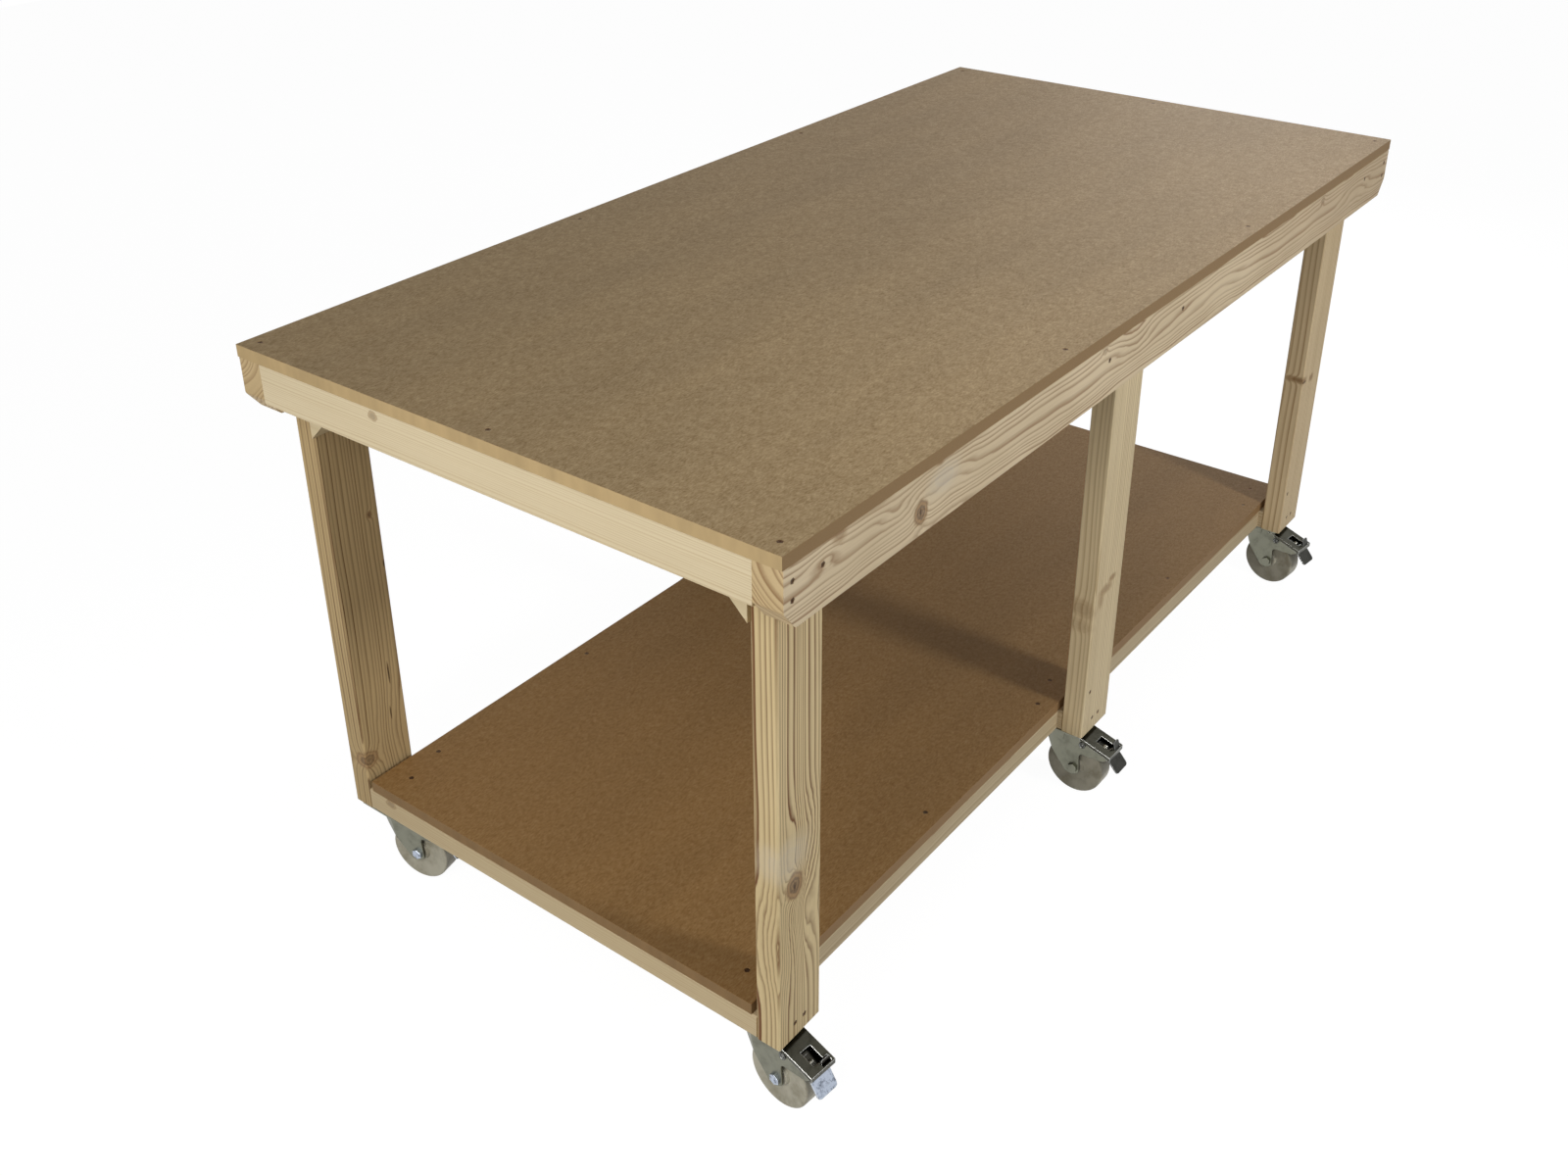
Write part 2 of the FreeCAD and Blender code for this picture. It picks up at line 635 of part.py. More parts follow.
def bent_sheet(points, width_start, width_stop):
    """Sheet that follows (y, z) points on its upper side, its thickness below them."""
    lower = []
    for index in range(len(points)):
        before = V(*points[max(index - 1, 0)], 0)
        here = V(*points[index], 0)
        after = V(*points[min(index + 1, len(points) - 1)], 0)
        way_in = (here - before).normalize() if index else (after - here).normalize()
        way_out = (after - here).normalize() if index < len(points) - 1 else way_in
        normal_in = V(-way_in.y, way_in.x, 0)
        normal_out = V(-way_out.y, way_out.x, 0)
        middle = (normal_in + normal_out).normalize()
        offset = here + middle * (BRAKE_SHEET / middle.dot(normal_in))
        lower.append((offset.x, offset.y))
    return prism(points + lower[::-1], 0, "yz", width_start, width_stop)


def make_cover():
    """Fixed brake cover: bent sheet with a window, side flanges, outer lip and a slot for the tab."""
    ridge = [
        (-COVER_START, -COVER_TOP_DROP),
        (-COVER_BEND, -COVER_BEND_DROP),
        (-COVER_END, -COVER_END_DROP),
        (-COVER_END, -COVER_END_DROP - COVER_LIP),
    ]
    cover = bent_sheet(ridge, -COVER_OUTER, COVER_OUTER)
    flange = [
        (-COVER_BEND, -COVER_BEND_DROP),
        (-COVER_END, -COVER_END_DROP),
        (-COVER_END, -COVER_END_DROP - COVER_LIP),
        (-COVER_END + BRAKE_SHEET, -COVER_END_DROP - COVER_LIP),
        (-COVER_END + 2 * COVER_FLANGE, under_cover(COVER_END - 2 * COVER_FLANGE, COVER_FLANGE)),
        (-COVER_BEND, under_cover(COVER_BEND, COVER_FLANGE)),
    ]
    flanges = [
        prism(flange, 0, "yz", *sorted((side * FORK_OUTER, side * COVER_OUTER))) for side in (-1, 1)
    ]
    window_stop = COVER_END - WINDOW_FROM_END
    window_start = window_stop - WINDOW_LENGTH * math.cos(COVER_FALL)
    left = WINDOW_SHIFT - WINDOW_WIDTH / 2
    window = box(left, left + WINDOW_WIDTH, -window_stop, -window_start, -2 * COVER_END_DROP, 0)
    slot = box(
        TAB_RIGHT - TAB_WIDTH - SAFE_GAP, TAB_RIGHT + SAFE_GAP,
        -COVER_END + BRAKE_SHEET, -window_stop + BRAKE_SHEET, -COVER_END_DROP - COVER_LIP / 2, 0,
    )
    return cover.fuse(flanges).cut([window, slot]).removeSplitter()


def make_pedal():
    """Brake lever between the side plates: deck, eyes on the rivets, tongue, tab and shoe."""
    deck_start = -PIVOT_Y + PIVOT_RADIUS + BRAKE_SHEET
    deck = [
        (-deck_start, under_cover(deck_start, PEDAL_UNDER_COVER)),
        (-PEDAL_DECK_END, under_cover(PEDAL_DECK_END, PEDAL_UNDER_COVER)),
        (-TONGUE_START_OUT, -TONGUE_START_DROP),
    ]
    half = FORK_INNER - 2 * SAFE_GAP
    pieces = [bent_sheet(deck, -half, half), make_tongue(), make_tab(), make_shoe()]
    eye_points = [
        (PIVOT_Y + PIVOT_RADIUS + BRAKE_SHEET, PIVOT_Z),
        (PIVOT_Y, PIVOT_Z + PIVOT_RADIUS + BRAKE_SHEET),
        (-deck_start - 2 * BRAKE_SHEET, under_cover(deck_start + 2 * BRAKE_SHEET, PEDAL_UNDER_COVER)),
        (-deck_start - 2 * BRAKE_SHEET, PIVOT_Z - PIVOT_RADIUS / 2),
        (PIVOT_Y, PIVOT_Z - PIVOT_RADIUS - SAFE_GAP),
    ]
    for side in (-1, 1):
        start, stop = sorted((side * half, side * (half - BRAKE_SHEET / 2)))
        pieces.append(prism(eye_points, 0, "yz", start, stop))
    pedal = pieces[0].fuse(pieces[1:])
    bore = around(PIVOT_RADIUS + RUNNING_CLEARANCE, PIVOT_SIDES)
    profile = [(0, -FORK_INNER), (bore, -FORK_INNER), (bore, FORK_INNER), (0, FORK_INNER)]
    pivot_hole = turned(profile, PIVOT_SIDES, (0, PIVOT_Y, PIVOT_Z), (1, 0, 0))
    return pedal.cut(pivot_hole).removeSplitter()


def plate_on_slope(start, direction, length, left, right, corner):
    """Flat sheet from a (y, z) point along a direction, its outer corners rounded."""
    flat = prism(
        rectangle(left, right, 0, length), [0, 0, corner, corner], "xy", -BRAKE_SHEET / 2,
        BRAKE_SHEET / 2,
    )
    run = V(0, math.cos(direction), math.sin(direction))
    turn = FreeCAD.Rotation(V(1, 0, 0), run, V(1, 0, 0).cross(run), "XYZ")
    flat.Placement = FreeCAD.Placement(V(0, *start), turn)
    return flat


def make_tongue():
    """Foot tongue, from under the cover's lip outward and down."""
    slope = math.radians(180 + TONGUE_SLOPE)
    half = BRAKE_SHEET / 2
    start = (
        -TONGUE_START_OUT - half * (math.cos(slope) + math.sin(slope)),
        -TONGUE_START_DROP - half * (math.sin(slope) - math.cos(slope)),
    )
    return plate_on_slope(start, slope, TONGUE_LENGTH, -TONGUE_WIDTH / 2, TONGUE_WIDTH / 2, TONGUE_CORNER)


def make_tab():
    """Release tab: stands on the deck's outer end and leans inward above the cover."""
    middle = -TAB_OUTER_FACE + BRAKE_SHEET / 2
    level = under_cover(TAB_OUTER_FACE, 0)
    low = under_cover(PEDAL_DECK_END, PEDAL_UNDER_COVER + BRAKE_SHEET)
    left = TAB_RIGHT - TAB_WIDTH
    post = box(
        left, TAB_RIGHT, middle - BRAKE_SHEET / 2, middle + BRAKE_SHEET / 2, low, level + BRAKE_SHEET / 2,
    )
    lean = math.radians(TAB_LEAN)
    leaf = plate_on_slope((middle, level), lean, TAB_HEIGHT, left, TAB_RIGHT, TAB_CORNER)
    return post.fuse(leaf)


def make_shoe():
    """Brake shoe bar under the deck, which meets the tread when the pedal is pressed."""
    touch = WHEEL_RADIUS + SHOE_RADIUS + SAFE_GAP
    press = math.radians(PEDAL_TRAVEL)
    pressed_y = -CASTER_TRAIL - SHOE_OUT
    pressed_z = AXLE_LEVEL + math.sqrt(touch ** 2 - SHOE_OUT ** 2)
    dy = pressed_y - PIVOT_Y
    dz = pressed_z - PIVOT_Z
    y = PIVOT_Y + dy * math.cos(press) + dz * math.sin(press)
    z = PIVOT_Z - dy * math.sin(press) + dz * math.cos(press)
    reach = SHOE_WIDTH / 2
    profile = [(0, -reach), (SHOE_RADIUS, -reach), (SHOE_RADIUS, reach), (0, reach)]
    bar = turned(profile, PIVOT_SIDES, (0, y, z), (1, 0, 0))
    deck = under_cover(-y, PEDAL_UNDER_COVER + BRAKE_SHEET / 2)
    stem = box(-reach, reach, y - BRAKE_SHEET, y + BRAKE_SHEET, z, deck)
    return bar.fuse(stem)


def make_coach_screws():
    """Four hexagon-headed screws of one plate, tapering up into the timber."""
    solids = []
    for x, y in plate_hole_points():
        base = (x, y, -PLATE_THICKNESS)
        head = hexagon(COACH_HEAD_FLATS, base, (0, 0, -1), COACH_HEAD_DEPTH)
        shank = [(0, 0), (COACH_SHANK_RADIUS, 0), (0, COACH_LENGTH)]
        solids.append(head.fuse(turned(shank, COACH_SIDES, base, (0, 0, 1))))
    return solids


def make_coach_holes():
    """Pilot holes in the timber for one plate's screws."""
    length = COACH_LENGTH - PLATE_THICKNESS
    taper = COACH_SHANK_RADIUS / COACH_LENGTH
    radius = taper * length + SCREW_CLEARANCE
    profile = [(0, 0), (radius, 0), (0, radius / taper)]
    return [turned(profile, COACH_SIDES, (x, y, 0), (0, 0, 1)) for x, y in plate_hole_points()]


def place_caster(shape, key, turning=True):
    """Copy a caster piece to its place, turned with the fork unless it is fixed to the timber."""
    side, leg = key.split("_")
    setting = CASTER_SETTINGS[key]
    spot = V(LEG_CENTRES[leg] + setting["shift"], SIDES[side] * SWIVEL_Y, LEG_BOTTOM)
    angle = setting["swivel"] if turning else 0.0
    placed = shape.copy()
    turn = FreeCAD.Placement(spot, FreeCAD.Rotation(V(0, 0, 1), angle))
    placed.Placement = turn.multiply(shape.Placement)
    return placed


def pressed_pedal(pedal):
    """The pedal turned about its rivets to the pressed position."""
    turned = pedal.copy()
    turned.rotate(V(0, PIVOT_Y, PIVOT_Z), V(1, 0, 0), PEDAL_TRAVEL)
    return turned


# ---------------------------------------------------------------- assembly
def build_frame_nodes(nodes):
    """Add the timber pieces and their screws."""
    board_seats = top_screw_seats() + shelf_screw_seats()
    frame_seats = apron_screw_seats() + leg_screw_seats()
    spare_seats = spare_screw_seats()
    cutters = [screw_hole(seat, BOARD_SCREW_LENGTH) for seat in board_seats]
    cutters += [screw_hole(seat, SPARE_SCREW_LENGTH) for seat in spare_seats]
    cutters += [screw_hole(seat, FRAME_SCREW_LENGTH) for seat in frame_seats]
    for key in CASTER_SETTINGS:
        cutters += [place_caster(hole, key, turning=False) for hole in make_coach_holes()]

    wood = {"tabletop": [make_tabletop()], "shelf_board": [make_shelf()]}
    for name, side in SIDES.items():
        wood[f"long_apron_{name}"] = [make_long_apron(side)]
        for leg, centre in LEG_CENTRES.items():
            wood[f"leg_{name}_{leg}"] = [make_leg(centre, side)]
        wood[f"shelf_rails_{name}"] = [make_long_rail(bay, side) for bay in shelf_bays()]
    wood["gussets"] = [make_gusset(end, side) for side in SIDES.values() for end in (-1, 1)]
    end_centre = APRON_END_X - END_APRON_THICKNESS / 2
    wood["end_apron_left"] = [make_cross_board(-end_centre)]
    wood["end_apron_right"] = [make_cross_board(end_centre)]
    wood["bearers"] = [make_cross_board(centre) for centre in BEARER_CENTRES]
    for leg, centre in LEG_CENTRES.items():
        wood[f"cross_rail_{leg}"] = [make_cross_rail(centre)]
    for name, solids in wood.items():
        nodes[name] = [cut_all(solid, cutters) for solid in solids]

    nodes["screws_board"] = [screw(seat, BOARD_SCREW_LENGTH) for seat in board_seats]
    nodes["screws_board"] += [screw(seat, SPARE_SCREW_LENGTH) for seat in spare_seats]
    nodes["screws_frame"] = [screw(seat, FRAME_SCREW_LENGTH) for seat in frame_seats]


def build_caster_nodes(nodes):
    """Add the six casters."""
    plate, wheel, axle, cover = make_plate(), make_wheel(), make_axle(), make_cover()
    fork = make_fork().cut(axle_shank(2 * FORK_OUTER))
    raised = make_pedal()
    pressed = pressed_pedal(raised)
    screws = make_coach_screws()
    coach = []
    for key, setting in CASTER_SETTINGS.items():
        nodes[f"plate_{key}"] = [place_caster(plate, key, turning=False)]
        nodes[f"fork_{key}"] = [place_caster(fork, key)]
        nodes[f"wheel_{key}"] = [place_caster(wheel, key)]
        nodes[f"axle_{key}"] = [place_caster(axle, key)]
        nodes[f"cover_{key}"] = [place_caster(cover, key)]
        nodes[f"pedal_{key}"] = [place_caster(pressed if setting["pressed"] else raised, key)]
        coach += [place_caster(solid, key, turning=False) for solid in screws]
    nodes["coach_screws"] = coach


def main():
    """Build every node and write one STEP file for each."""
    nodes = {}
    build_frame_nodes(nodes)
    build_caster_nodes(nodes)
    os.makedirs("parts", exist_ok=True)
    for name, solids in nodes.items():
        shape = solids[0] if len(solids) == 1 else Part.makeCompound(solids)
        if not shape.isValid():
            raise ValueError(f"{name} is not a valid shape")
        shape.exportStep(f"parts/{name}.step")
        print(name, len(shape.Solids), round(shape.Volume / 1000, 2), "cm3")


main()
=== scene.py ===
"""Looks of a rolling assembly table: fibreboard boards, softwood frame, braked casters."""
import json
import logging
import math
from dataclasses import dataclass, field
from enum import Enum
from typing import Any, Callable, ClassVar, Iterable, Sequence, Union

import bmesh
import bpy
from mathutils import Matrix, Vector


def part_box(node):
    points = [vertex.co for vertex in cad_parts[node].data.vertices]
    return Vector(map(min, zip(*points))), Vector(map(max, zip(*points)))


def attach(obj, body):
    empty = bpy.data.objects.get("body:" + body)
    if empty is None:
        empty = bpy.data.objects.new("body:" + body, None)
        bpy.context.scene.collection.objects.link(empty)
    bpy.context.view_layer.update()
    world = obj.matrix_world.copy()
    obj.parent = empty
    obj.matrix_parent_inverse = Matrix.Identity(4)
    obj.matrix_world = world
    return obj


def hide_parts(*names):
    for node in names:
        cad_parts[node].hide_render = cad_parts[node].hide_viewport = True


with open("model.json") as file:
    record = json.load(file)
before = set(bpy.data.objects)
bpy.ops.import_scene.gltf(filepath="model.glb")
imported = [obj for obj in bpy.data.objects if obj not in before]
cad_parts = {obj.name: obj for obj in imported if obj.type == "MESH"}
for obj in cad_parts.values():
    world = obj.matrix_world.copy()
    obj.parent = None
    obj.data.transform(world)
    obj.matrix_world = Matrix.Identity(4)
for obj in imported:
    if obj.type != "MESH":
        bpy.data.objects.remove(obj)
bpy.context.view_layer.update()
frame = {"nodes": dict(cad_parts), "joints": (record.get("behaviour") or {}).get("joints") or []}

logging.basicConfig(level=logging.INFO, format="%(message)s")
LOG = logging.getLogger("assembly_table")

MM = 0.001
Colour = tuple[float, float, float]
Shown = tuple[int, int, int]
Spot = tuple[float, float, float]
Piece = bpy.types.Object
Material = bpy.types.Material
Socket = bpy.types.NodeSocket

ALONG_AXIS = 0.9  # cosine past which a face counts as square to an axis
SAME_PLACE = 0.05 * MM  # distance within which two places count as one
SKIN = 0.4 * MM  # depth below a board's face that still counts as the face
PIVOT_OUT = 51.5 * MM  # pedal's pivot, outwards from the caster's kingpin
PIVOT_LEVEL = -26.0 * MM  # pedal's pivot, below the caster's plate face
WARM = (1.0, 0.98, 0.94)  # light of a lamp a little towards yellow
COOL = (0.97, 0.98, 1.0)  # light of a lamp a little towards blue
WHITE = (1.0, 1.0, 1.0, 1.0)


def linear(red: int, green: int, blue: int) -> tuple[float, float, float, float]:
    """Turn a display colour of 0 to 255 into the linear colour that a socket takes.

    Args:
        red: Red as shown on a screen.
        green: Green as shown on a screen.
        blue: Blue as shown on a screen.

    Returns:
        The linear colour with full alpha.
    """
    parts = [channel / 255 for channel in (red, green, blue)]
    parts = [c / 12.92 if c <= 0.04045 else ((c + 0.055) / 1.055) ** 2.4 for c in parts]
    return (parts[0], parts[1], parts[2], 1.0)


def shade(colour: Sequence[float], factor: float) -> tuple[float, ...]:
    """Return the same colour, lighter or darker by a factor."""
    return tuple(part * factor for part in colour[:3]) + (1.0,)


class Axis(Enum):
    """The three directions of the table, by the place of their coordinate."""

    X = 0
    Y = 1
    Z = 2


# ------------------------------------------------------------------ shader maths
class Signal:
    """A number socket of a material that takes part in Python arithmetic."""

    def __init__(self, recipe: "Recipe", socket: Socket) -> None:
        """Keep the socket and the recipe that it belongs to."""
        self.recipe = recipe
        self.socket = socket

    def __add__(self, other: "Term") -> "Signal":
        """Sum."""
        return self.recipe.maths("ADD", self, other)

    def __radd__(self, other: "Term") -> "Signal":
        """Sum with the number first."""
        return self.recipe.maths("ADD", other, self)

    def __sub__(self, other: "Term") -> "Signal":
        """Difference."""
        return self.recipe.maths("SUBTRACT", self, other)

    def __rsub__(self, other: "Term") -> "Signal":
        """Difference with the number first."""
        return self.recipe.maths("SUBTRACT", other, self)

    def __mul__(self, other: "Term") -> "Signal":
        """Product."""
        return self.recipe.maths("MULTIPLY", self, other)

    def __rmul__(self, other: "Term") -> "Signal":
        """Product with the number first."""
        return self.recipe.maths("MULTIPLY", other, self)

    def __truediv__(self, other: "Term") -> "Signal":
        """Quotient."""
        return self.recipe.maths("DIVIDE", self, other)

    def __rtruediv__(self, other: "Term") -> "Signal":
        """Quotient with the number first."""
        return self.recipe.maths("DIVIDE", other, self)

    def __gt__(self, other: "Term") -> "Signal":
        """One where this is the larger, zero elsewhere."""
        return self.recipe.maths("GREATER_THAN", self, other)

    def __lt__(self, other: "Term") -> "Signal":
        """One where this is the smaller: the form of "larger" with the number first."""
        return self.recipe.maths("LESS_THAN", self, other)


Stops = Sequence[tuple[float, Sequence[float]]]
Term = Union[Signal, float, int]
Input = Union[Signal, Socket, float, int, Sequence[float]]


class Recipe:
    """One material while its nodes are laid out."""

    def __init__(self, name: str) -> None:
        """Start an empty material.

        Args:
            name: Name of the finish.
        """
        self.material = bpy.data.materials.new(name)
        self.material.use_nodes = True
        self.tree = self.material.node_tree
        self.tree.nodes.clear()
        self.place = self.node("ShaderNodeTexCoord").outputs["Object"]

    @classmethod
    def on_tree(cls, tree: bpy.types.NodeTree) -> "Recipe":
        """Start on a tree that is already there, such as the world's.

        Args:
            tree: The node tree, which is emptied.

        Returns:
            A recipe without a material.
        """
        made = cls.__new__(cls)
        made.material = None
        made.tree = tree
        tree.nodes.clear()
        return made

    def node(
        self, kind: str, settings: dict | None = None, inputs: dict | None = None
    ) -> bpy.types.Node:
        """Add one node, its settings first and then its sockets.

        Args:
            kind: Node type.
            settings: Properties such as a Math node's operation, or the stops of a ramp.
            inputs: Values or links by socket name or number.

        Returns:
            The node.
        """
        made = self.tree.nodes.new(kind)
        for key, value in (settings or {}).items():
            if key == "stops":
                self._set_stops(made, value)
            else:
                setattr(made, key, value)
        for key, value in (inputs or {}).items():
            socket = made.inputs[key]
            if isinstance(value, Signal):
                self.tree.links.new(value.socket, socket)
            elif isinstance(value, Socket):
                self.tree.links.new(value, socket)
            else:
                socket.default_value = value
        return made

    @staticmethod
    def _set_stops(ramp: bpy.types.Node, stops: Stops) -> None:
        """Give a ramp its stops.

        Args:
            ramp: The ramp node.
            stops: Place and colour of each stop.
        """
        elements = ramp.color_ramp.elements
        while len(elements) < len(stops):
            elements.new(0.5)
        for element, (place, colour) in zip(elements, stops):
            element.position = place
            element.color = colour

    def maths(self, operation: str, *terms: Term, clamp: bool = False) -> Signal:
        """Add a Math node.

        Args:
            operation: The node's operation.
            terms: Numbers or signals, in order.
            clamp: Keep the result between 0 and 1.

        Returns:
            The result.
        """
        made = self.node(
            "ShaderNodeMath", {"operation": operation, "use_clamp": clamp}, dict(enumerate(terms))
        )
        return Signal(self, made.outputs[0])

    def vectors(self, operation: str, *terms: Input) -> bpy.types.Node:
        """Add a Vector Math node and return it."""
        return self.node("ShaderNodeVectorMath", {"operation": operation}, dict(enumerate(terms)))

    def axes(self, vector: Socket) -> tuple[Signal, Signal, Signal]:
        """Split a vector into its three numbers."""
        parts = self.node("ShaderNodeSeparateXYZ", None, {0: vector}).outputs
        return (Signal(self, parts[0]), Signal(self, parts[1]), Signal(self, parts[2]))

    def facing(self, axis: Axis) -> Signal:
        """Return how squarely the surface faces along an axis, from 0 to 1."""
        normal = self.node("ShaderNodeTexCoord").outputs["Normal"]
        return self.maths("ABSOLUTE", self.axes(normal)[axis.value])

    def shifted(self, offset: Sequence[float], stretch: Sequence[float]) -> Socket:
        """Move the place on the piece and then stretch it.

        Args:
            offset: What is taken from the place, in metres.
            stretch: Scale along each axis.

        Returns:
            The vector socket.
        """
        moved = self.vectors("SUBTRACT", self.place, tuple(offset)).outputs[0]
        return self.vectors("MULTIPLY", moved, tuple(stretch)).outputs[0]

    def noise(
        self, vector: Input, scale: float, detail: float = 2.0, roughness: float = 0.5
    ) -> Signal:
        """Add a noise pattern, about 0.5 on average.

        Args:
            vector: Where it is read.
            scale: Waves in one unit of the vector.
            detail: Number of finer layers.
            roughness: Strength of the finer layers.

        Returns:
            The pattern.
        """
        made = self.node(
            "ShaderNodeTexNoise", None,
            {"Vector": vector, "Scale": scale, "Detail": detail, "Roughness": roughness},
        )
        return Signal(self, made.outputs[0])

    def ramp(self, value: Term, stops: Stops) -> Socket:
        """Turn a value into its colour on a ramp of stops."""
        return self.node("ShaderNodeValToRGB", {"stops": stops}, {0: value}).outputs[0]

    def span(self, value: Term, low: float, high: float) -> Signal:
        """Find where a value lies between two limits, eased at both ends.

        Args:
            value: The value.
            low: Limit that gives 0.
            high: Limit that gives 1.

        Returns:
            The share from 0 to 1.
        """
        made = self.node(
            "ShaderNodeMapRange", {"interpolation_type": "SMOOTHSTEP"},
            {"Value": value, "From Min": low, "From Max": high},
        )
        return Signal(self, made.outputs[0])

    def blend(self, factor: Term, first: Input, second: Input, mode: str = "MIX") -> Socket:
        """Mix two colours.

        Args:
            factor: Share of the second.
            first: Colour at 0.
            second: Colour at 1.
            mode: Blend mode of the Mix node.

        Returns:
            The mixed colour.
        """
        settings = {"data_type": "RGBA", "blend_type": mode}
        made = self.node("ShaderNodeMix", settings, {0: factor, 6: first, 7: second})
        return made.outputs[2]

    def product(self, first: Input, second: Input) -> Socket:
        """Multiply two colours."""
        return self.blend(1.0, first, second, "MULTIPLY")

    def bump(
        self, height: Term, distance: float, strength: float = 1.0, base: Socket | None = None
    ) -> Socket:
        """Give a surface a small relief.

        Args:
            height: Relief from 0 to 1.
            distance: Depth of the relief in metres.
            strength: Share of it that shows.
            base: Normal that the relief lies on, where it is not the surface's own.

        Returns:
            The normal socket.
        """
        inputs = {"Strength": strength, "Distance": distance, "Height": height}
        if base is not None:
            inputs["Normal"] = base
        return self.node("ShaderNodeBump", None, inputs).outputs[0]

    def finish(self, sockets: dict[str, Input]) -> Material:
        """Close the material with one main shader.

        Args:
            sockets: The shader's inputs by name.

        Returns:
            The material.
        """
        shader = self.node("ShaderNodeBsdfPrincipled", None, sockets)
        self.node("ShaderNodeOutputMaterial", None, {"Surface": shader.outputs[0]})
        return self.material


# ------------------------------------------------------------------ finishes
@dataclass(frozen=True)
class Fibreboard:
    """Raw medium-density fibreboard: a pressed face full of short fibres and plainer sawn edges.

    Each fibre layer is the direction of its fibres in degrees and their number in one metre.
    """

    name: str
    top_level: float
    end_place: float
    face: Shown = (158, 135, 100)
    deep: Shown = (134, 110, 74)
    pale: Shown = (182, 160, 126)
    # painted light along the board: warm towards the near end, cool towards the far end
    painted_near_light: Colour = (1.0, 0.985, 0.93)
    painted_far_light: Colour = (1.0, 0.995, 1.06)
    edge: Shown = (142, 115, 79)
    # colour of the ends facing along X: painted light where paler than the long edges, painted
    # shade where darker
    end_edge_painted_lighting: Shown = (186, 161, 118)
    fibre_layers: tuple[tuple[float, float], ...] = ((24.0, 620.0), (-31.0, 480.0))
    blotches_in_metre: float = 110.0
    clouds_in_metre: float = 3.4
    bands_in_metre: float = 9.0
    relief: float = 0.04 * MM
    slow_tints: ClassVar[Stops] = ((0.36, (0.9, 0.9, 0.89, 1.0)), (0.64, (1.08, 1.08, 1.07, 1.0)))

    def material(self) -> Material:
        """Lay out the board's material.

        Returns:
            The material.
        """
        recipe = Recipe(self.name)
        flecks, crossed = (self._flecks(recipe, *layer) for layer in self.fibre_layers)
        blotches = recipe.noise(recipe.place, self.blotches_in_metre, 3.0, 0.6)
        mottle = flecks * 0.4 + crossed * 0.32 + blotches * 0.28
        along, _, height = recipe.axes(recipe.place)
        on_face = height > self.top_level - SKIN
        face = self._face(recipe, mottle, along)
        return recipe.finish({
            "Base Color": recipe.blend(on_face, self._edges(recipe), face),
            "Roughness": 0.58 + flecks * 0.14,
            "Specular IOR Level": 0.25,
            "Normal": recipe.bump(mottle, self.relief, 0.5),
        })

    def _face(self, recipe: Recipe, mottle: Signal, along: Signal) -> Socket:
        """Colour the pressed face: mottled, in slow clouds and bands, with painted light: warm at
        one end, cool at the other.

        Args:
            recipe: The material being laid out.
            mottle: Pattern of the fibres.
            along: Place along the board's length.

        Returns:
            The colour.
        """
        colours = [linear(*part) for part in (self.deep, self.face, self.pale)]
        face = recipe.ramp(mottle, list(zip((0.38, 0.5, 0.63), colours)))
        broad = recipe.shifted((0.4, 0.2, 0.0), (0.5, 1.7, 1.0))
        cloud = recipe.noise(broad, self.clouds_in_metre, 4.0, 0.6)
        drawn_out = recipe.shifted((0.1, 0.3, 0.0), (0.06, 1.0, 1.0))
        bands = recipe.noise(drawn_out, self.bands_in_metre, 3.0, 0.55)
        tint = recipe.ramp(cloud * 0.6 + bands * 0.4, self.slow_tints)
        # painted light: a warm tint at the near end shading into a cool tint at the far end
        share = recipe.span(along, self.end_place, -self.end_place)
        painted_light_tint = recipe.blend(share, (*self.painted_near_light, 1.0), (*self.painted_far_light, 1.0))
        return recipe.product(recipe.product(face, tint), painted_light_tint)

    @staticmethod
    def _flecks(recipe: Recipe, angle: float, scale: float) -> Signal:
        """Lay short fibres along one direction of the face.

        Args:
            recipe: The material being laid out.
            angle: Direction of the fibres in degrees.
            scale: Fibres side by side in one metre.

        Returns:
            The pattern.
        """
        turn = (0, 0, math.radians(angle))
        turned = recipe.node("ShaderNodeMapping", None, {
            "Vector": recipe.place, "Rotation": turn, "Scale": (0.3, 1.0, 1.0),
        })
        return recipe.noise(turned.outputs[0], scale, 3.0, 0.6)

    def _edges(self, recipe: Recipe) -> Socket:
        """Colour the sawn edges; the ends, which face along X, take painted light where paler than
        the long sides and painted shade where darker.

        Args:
            recipe: The material being laid out.

        Returns:
            The colour.
        """
        fibre = recipe.noise(recipe.shifted((0, 0, 0), (1.0, 1.0, 3.0)), 300.0, 3.0, 0.6)
        strokes = recipe.noise(recipe.shifted((0, 0, 0), (0.05, 1.0, 0.25)), 55.0, 2.0, 0.5)
        side_colour, end_lighting_colour = linear(*self.edge), linear(*self.end_edge_painted_lighting)
        long_side = recipe.blend(fibre, shade(side_colour, 0.86), shade(side_colour, 1.12))
        end = recipe.blend(strokes, shade(end_lighting_colour, 0.8), shade(end_lighting_colour, 1.2))
        # the ends facing along X take their own colour: painted light on the top's ends, painted
        # shade on the shelf's
        return recipe.blend(recipe.facing(Axis.X) > 0.5, long_side, end)


class Blemish(Enum):
    """Kinds of mark in softwood, each with its outer and inner colour."""

    KNOT = ((160, 126, 86), (98, 72, 50))
    STAIN = ((162, 130, 90), (138, 104, 68))
    SPLIT = ((112, 84, 56), (46, 32, 22))
    BARE = ((218, 206, 182), (212, 204, 188))
    CURL = ((190, 170, 140), (190, 170, 140))

    @property
    def rim(self) -> tuple[float, float]:
        """Return the nearness at which the mark starts to show and at which it covers the board."""
        return {"KNOT": (0.34, 0.56), "SPLIT": (0.3, 0.6)}.get(self.name, (0.12, 0.8))


